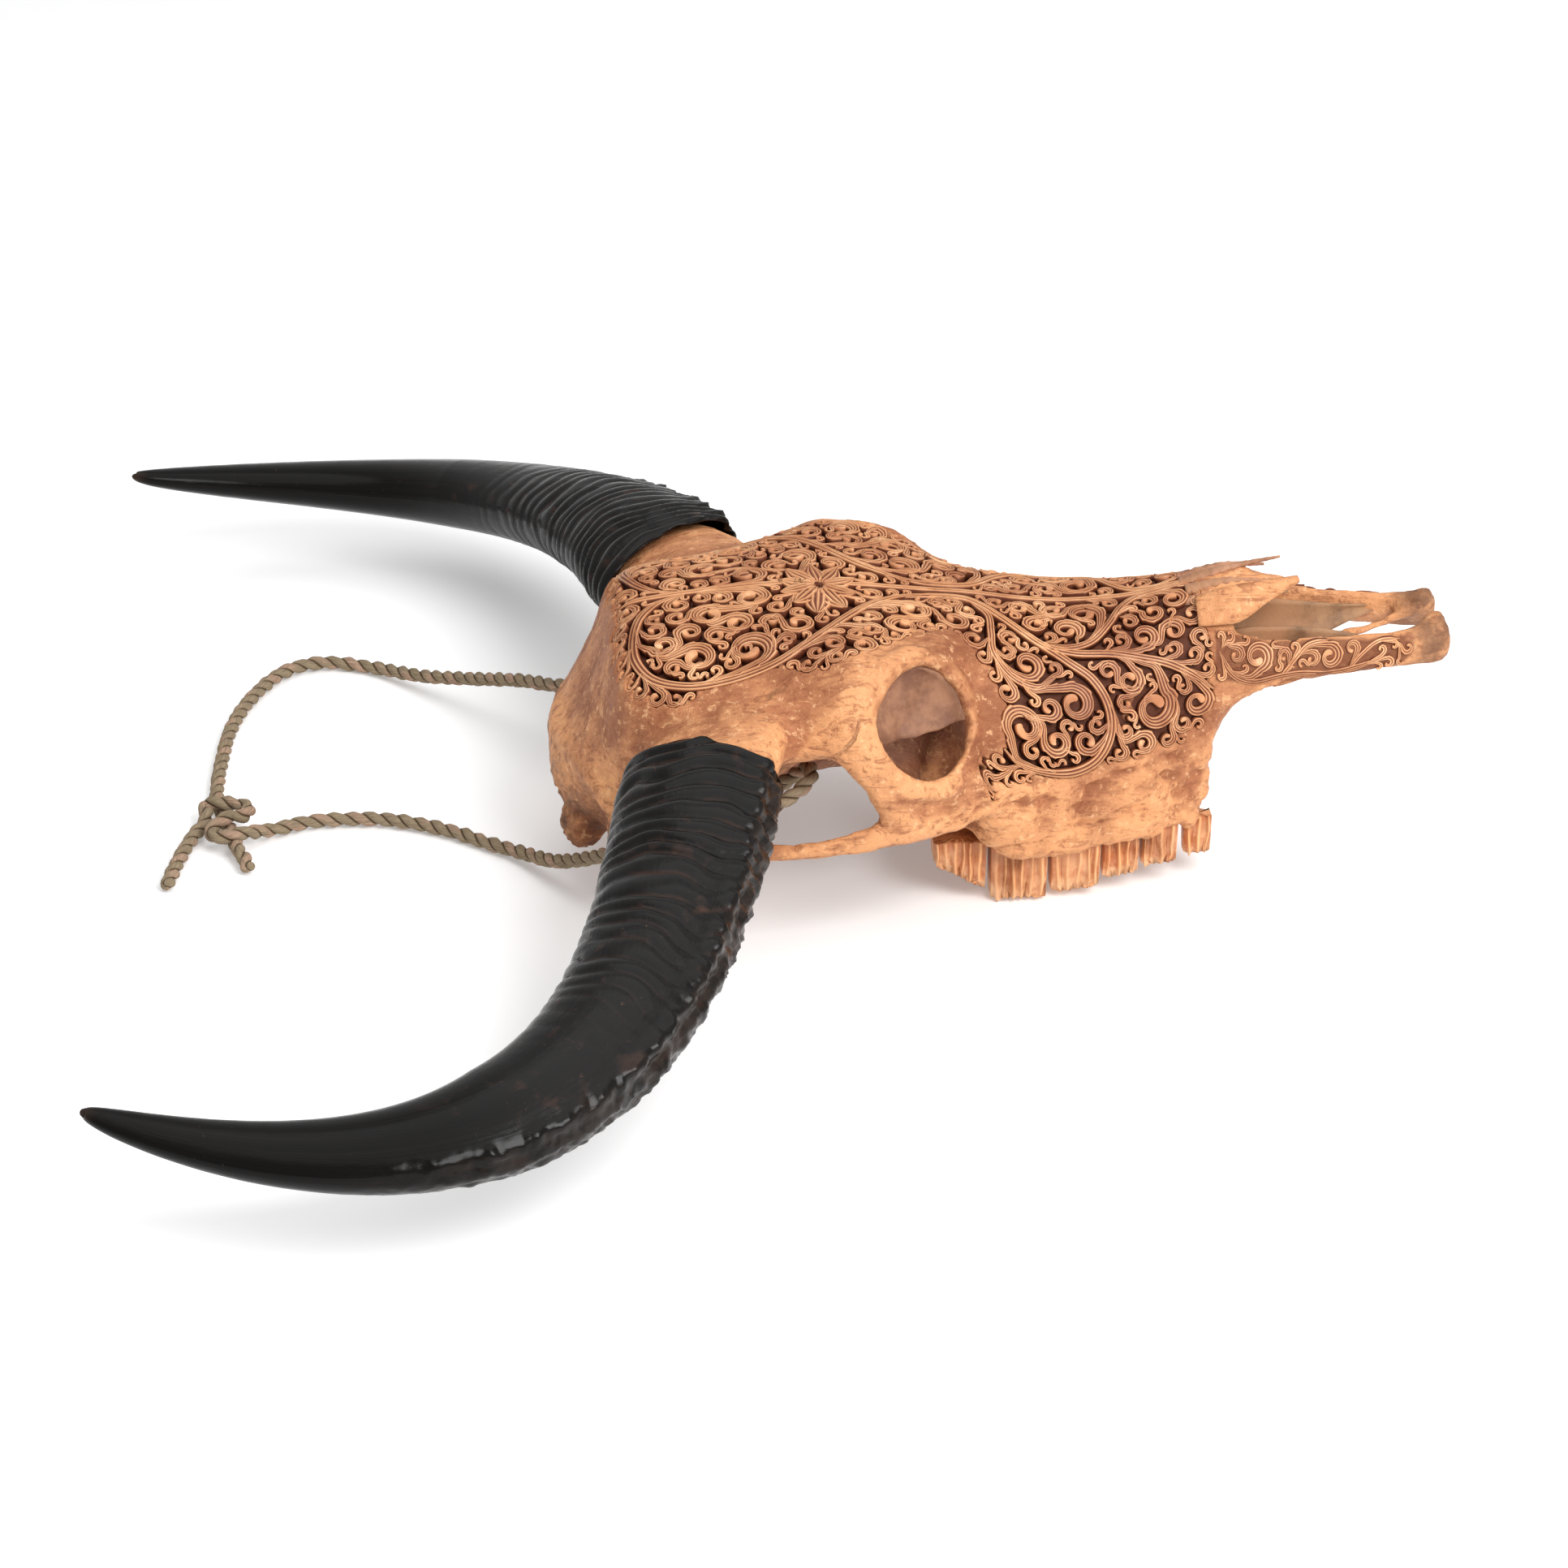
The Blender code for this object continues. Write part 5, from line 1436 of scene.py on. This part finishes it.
def tooth_piece(name, side, row, seed, material):
    """A tall cheek tooth: columns with deep grooves outside, and a sharp cusp under each."""
    rear, front, outer, width, low_rear, low_front, ribs = row
    around, levels = 120, 26
    length, inner = front - rear - 0.0009, outer - width
    rng = np.random.default_rng(seed)
    share = np.arange(around) / around
    xs, ys = np.zeros(around), np.zeros(around)
    one = share < 0.50
    q = share[one] / 0.50
    cuts = np.cumsum(np.concatenate([[0], rng.uniform(0.6, 1.4, ribs)]))
    cuts /= cuts[-1]
    number = np.clip(np.searchsorted(cuts, q, side="right") - 1, 0, ribs - 1)
    inside = (q - cuts[number]) / (cuts[number + 1] - cuts[number])
    column = np.sin(math.pi * np.clip(inside, 0, 1))
    stand = rng.uniform(0.0, 0.0009, ribs)[number]
    sharp = np.exp(-((inside - 0.5) / 0.19) ** 2)
    tall = rng.uniform(0.45, 1.0, ribs)[number]
    cusp = np.abs(np.sin(math.pi * (q * max(ribs // 2, 1) + 0.12 * seed)))
    xs[one] = rear + 0.00045 + q * length
    ys[one] = outer - 0.0022 * (1 - sharp * tall) - stand * 0.6 - 0.0008 * (1 - column ** 0.4)
    two = (share >= 0.50) & (share < 0.58)
    xs[two] = rear + 0.00045 + length
    ys[two] = outer - 0.0026 - (share[two] - 0.50) / 0.08 * (width - 0.0026)
    three = (share >= 0.58) & (share < 0.92)
    q = (share[three] - 0.58) / 0.34
    xs[three] = rear + 0.00045 + (1 - q) * length
    ys[three] = inner + 0.0024 * np.abs(np.cos(math.pi * q)) ** 1.5
    four = share >= 0.92
    xs[four] = rear + 0.00045
    ys[four] = inner + (share[four] - 0.92) / 0.08 * (width - 0.0026)
    groove = np.full(around, 0.45)
    groove[one] = 1 - 0.95 * sharp * tall
    bottom = low_rear + (low_front - low_rear) * np.clip((xs - rear) / (front - rear), 0, 1)
    lengths = rng.uniform(0.0, 0.0030, ribs)
    number_all = np.zeros(around)
    number_all[one] = number
    jag = np.full(around, 0.0030)
    jag[one] = lengths[number] * 0.8 + 0.0026 * (1 - sharp) + 0.0058 * (1 - cusp ** 0.7)
    floor_touch = 0.0 if low_rear + low_front > 0 else float(jag[one].min())
    bottom = bottom + jag - floor_touch
    middle = np.array([(rear + front) / 2, outer - width / 2])
    top_z = TOOTH_ROOT_Z - 0.0002
    verts, rib, low = [], [], []
    for level in range(levels):
        h = level / (levels - 1)
        z = bottom + (top_z - bottom) * h ** 0.92
        crook = 0.0006 * np.sin(h * 5 + number_all * 2.1 + seed) * (1 - h)
        swell = 1 - 0.12 * (1 - h) ** 3 - 0.16 * math.exp(-h * 14)
        lean = 0.00030 * np.sin(xs * 700 + h * 9 + seed)
        x = middle[0] + (xs - middle[0]) * (1 - 0.05 * (1 - h)) + crook * one
        y = middle[1] + (ys - middle[1]) * swell + lean * one
        verts.append(np.stack([x, y, z], 1))
        rib.append(groove)
        low.append(np.full(around, 1 - h))
    for scale, lift in ((0.74, 0.0022), (0.45, 0.0036), (0.2, 0.0016)):
        x = middle[0] + (xs - middle[0]) * scale
        y = middle[1] + (ys - middle[1]) * scale
        base_z = low_rear + (low_front - low_rear) * (x - rear) / (front - rear)
        verts.insert(0, np.stack([x, y, base_z + lift], 1))
        rib.insert(0, np.full(around, 0.7))
        low.insert(0, np.full(around, 0.6))
    rings = len(verts)
    cap_z = (low_rear + low_front) / 2 + 0.0016
    flat = np.vstack(verts + [np.array([[middle[0], middle[1], cap_z]]),
                              np.array([[middle[0], middle[1], top_z]])])
    flat[:, 2] = np.maximum(flat[:, 2], 0.0)
    flat = flat * (1, side, 1)
    faces = tube_faces(rings, around)
    last = (rings - 1) * around
    faces += [((k + 1) % around, k, rings * around) for k in range(around)]
    faces += [(last + k, last + (k + 1) % around, rings * around + 1) for k in range(around)]
    crown = make_mesh(name, flat, faces, material)
    store_values(crown.data, "rib", np.concatenate([1 - np.concatenate(rib), [0.5, 0.5]]))
    store_values(crown.data, "low", np.concatenate([np.concatenate(low), [1.0, 0.0]]))
    return crown


def build_teeth(look):
    material = tooth_material(look)
    for number, row in enumerate(TEETH, start=1):
        for side, hand in ((-1, "right"), (1, "left")):
            place = "%s_%d" % (hand, number)
            crown = tooth_piece("crown_" + place, side, row, number * 2 + side, material)
            finish_piece(crown, "tooth", "tooth_" + place)


def build_stage(look):
    """A white floor and sky, two soft lights and the camera."""
    deselect()
    bpy.ops.mesh.primitive_plane_add(size=look.floor_size, location=(0, 0, -0.0003))
    floor = bpy.context.active_object
    floor.name = "floor"
    made, g, shader = new_material("white floor")
    white = g.mix(g.noise(g.place(), 3.0, 2.0), (0.90, 0.90, 0.905), (0.93, 0.93, 0.93))
    join(g, shader, Base_Color=white, Roughness=0.8, Specular_IOR_Level=0.1,
         Emission_Color=(1.0, 1.0, 1.0, 1.0), Emission_Strength=look.floor_glow)
    floor.data.materials.append(made)
    world = bpy.data.worlds.new("bright studio")
    bpy.context.scene.world = world
    world.use_nodes = True
    back = world.node_tree.nodes["Background"]
    back.inputs["Color"].default_value = (1.0, 1.0, 1.0, 1.0)
    back.inputs["Strength"].default_value = look.sky_strength
    for name, place, size, power in (("key", (0.9, -1.5, 1.6), 1.4, look.key_power),
                                     ("top", (0.1, 0.1, 2.4), 2.8, look.top_power)):
        lamp = bpy.data.lights.new(name, "AREA")
        lamp.shape = "DISK"
        lamp.size = size
        lamp.energy = power
        light = bpy.data.objects.new(name, lamp)
        light.location = place
        aim = Vector((0.02, 0, 0.05)) - light.location
        light.rotation_euler = aim.to_track_quat("-Z", "Y").to_euler()
        bpy.context.scene.collection.objects.link(light)
    add_camera()
    bpy.context.scene.view_settings.view_transform = "Standard"


def add_camera():
    turn, rise = math.radians(VIEW_TURN), math.radians(VIEW_RISE)
    back = Vector((math.sin(turn) * math.cos(rise), -math.cos(turn) * math.cos(rise),
                   math.sin(rise)))
    lens = bpy.data.cameras.new("camera")
    lens.sensor_width = SENSOR
    lens.lens = LENS
    camera = bpy.data.objects.new("camera", lens)
    camera.location = Vector(VIEW_CENTRE) + back * VIEW_DISTANCE
    camera.rotation_euler = (-back).to_track_quat("-Z", "Y").to_euler()
    bpy.context.scene.collection.objects.link(camera)
    bpy.context.scene.camera = camera


def size_setting(name, text, default, low=0.0001, high=5.0):
    return FloatProperty(name=name, description=text, default=default, min=low, max=high,
                         subtype="DISTANCE", unit="LENGTH")


def colour_setting(name, text, default):
    return FloatVectorProperty(name=name, description=text, default=default, min=0, max=1,
                               subtype="COLOR")


class SKULL_PG_stage(PropertyGroup):
    floor_size: size_setting("Floor", "Side of the square floor", 14.0, 1.0, 60.0)
    floor_glow: FloatProperty(name="Floor Glow", description="Light that comes up from the floor",
                              default=0.20, min=0, max=2)
    sky_strength: FloatProperty(name="Sky", description="Strength of the white surroundings",
                                default=0.56, min=0, max=5)
    key_power: FloatProperty(name="Side Light", description="Power of the soft light in front",
                             default=46.0, min=0, max=500, unit="POWER")
    top_power: FloatProperty(name="Top Light", description="Power of the soft light overhead",
                             default=20.0, min=0, max=500, unit="POWER")


class SKULL_PG_rope(PropertyGroup):
    diameter: size_setting("Diameter", "Thickness of the rope", 0.008)
    ply_pitch: size_setting("Twist", "Length of one full turn of the plies", 0.019)
    straw_green: colour_setting("First Ply", "Colour of one ply", (0.36, 0.280, 0.180))
    straw_pink: colour_setting("Second Ply", "Colour of the other ply", (0.52, 0.345, 0.245))


class SKULL_PG_bone(PropertyGroup):
    skin_size: size_setting("Skin Detail", "Size of the skull's faces", 0.0029)
    bone: colour_setting("Bone", "Usual colour of the bone", (0.43, 0.160, 0.068))
    dark_bone: colour_setting("Dark Bone", "Colour of its stained parts", (0.27, 0.090, 0.036))
    cream: colour_setting("Pale Bone", "Colour where it is worn", (0.745, 0.345, 0.150))
    # Painted shade for the carving's grooves and the muzzle bars' ground
    groove: colour_setting("Grooves", "Colour in the carved grooves", (0.130, 0.030, 0.0105))
    # Painted shade for the carving's cut-down ground and the sides of its bands
    recess: colour_setting("Recess", "Colour deep between the scrolls", (0.105, 0.028, 0.011))


class SKULL_PG_horn(PropertyGroup):
    ring_spacing: size_setting("Ring Spacing", "Distance between the growth rings", 0.0118)
    ring_height: size_setting("Ring Height", "How far the rings stand out", 0.0033)
    horn: colour_setting("Horn", "Colour of the polished horn", (0.0022, 0.0018, 0.0016))
    horn_brown: colour_setting("Worn Horn", "Colour of its brown streaks", (0.062, 0.027, 0.016))


class SKULL_PG_teeth(PropertyGroup):
    tooth: colour_setting("Enamel", "Colour of the ribs", (0.90, 0.44, 0.185))
    tooth_dark: colour_setting("Stain", "Colour between the ribs", (0.44, 0.130, 0.042))


class SKULL_OT_stage(Operator):
    """Set up the floor, the light and the camera"""
    bl_idname = "skull.stage"
    bl_label = "Stage and Camera"

    def execute(self, context):
        build_stage(context.scene.skull_stage)
        return {"FINISHED"}


class SKULL_OT_rope(Operator):
    """Lay the two strands of twisted rope and their knot"""
    bl_idname = "skull.rope"
    bl_label = "Rope"

    def execute(self, context):
        build_ropes(context.scene.skull_rope)
        return {"FINISHED"}


class SKULL_OT_bone(Operator):
    """Model the skull and the scrolls that are carved in it"""
    bl_idname = "skull.bone"
    bl_label = "Skull and Carving"

    def execute(self, context):
        build_skull(context.scene.skull_bone)
        return {"FINISHED"}


class SKULL_OT_horns(Operator):
    """Model the two black horn sheaths"""
    bl_idname = "skull.horns"
    bl_label = "Horn Sheaths"

    def execute(self, context):
        build_horns(context.scene.skull_horn)
        return {"FINISHED"}


class SKULL_OT_teeth(Operator):
    """Model the cheek teeth of both rows"""
    bl_idname = "skull.teeth"
    bl_label = "Teeth"

    def execute(self, context):
        build_teeth(context.scene.skull_teeth)
        return {"FINISHED"}


class SKULL_PT_panel(Panel):
    bl_label = "Buffalo Skull"
    bl_space_type = "VIEW_3D"
    bl_region_type = "UI"
    bl_category = "Skull"

    def draw(self, context):
        layout = self.layout
        for operator, settings, _ in STEPS:
            box = layout.box()
            box.operator(operator.bl_idname)
            group = getattr(context.scene, settings)
            for name in group.__annotations__:
                box.prop(group, name)


# Each step's operator, where its settings are kept, and their group
STEPS = ((SKULL_OT_stage, "skull_stage", SKULL_PG_stage),
         (SKULL_OT_rope, "skull_rope", SKULL_PG_rope),
         (SKULL_OT_bone, "skull_bone", SKULL_PG_bone),
         (SKULL_OT_horns, "skull_horn", SKULL_PG_horn),
         (SKULL_OT_teeth, "skull_teeth", SKULL_PG_teeth))


def register():
    for operator, settings, group in STEPS:
        bpy.utils.register_class(group)
        setattr(bpy.types.Scene, settings, PointerProperty(type=group))
        bpy.utils.register_class(operator)
    bpy.utils.register_class(SKULL_PT_panel)


def unregister():
    bpy.utils.unregister_class(SKULL_PT_panel)
    for operator, settings, group in reversed(STEPS):
        bpy.utils.unregister_class(operator)
        delattr(bpy.types.Scene, settings)
        bpy.utils.unregister_class(group)


def main():
    register()
    bpy.ops.skull.stage()
    bpy.ops.skull.rope()
    bpy.ops.skull.bone()
    bpy.ops.skull.horns()
    bpy.ops.skull.teeth()


if __name__ == "__main__":
    main()
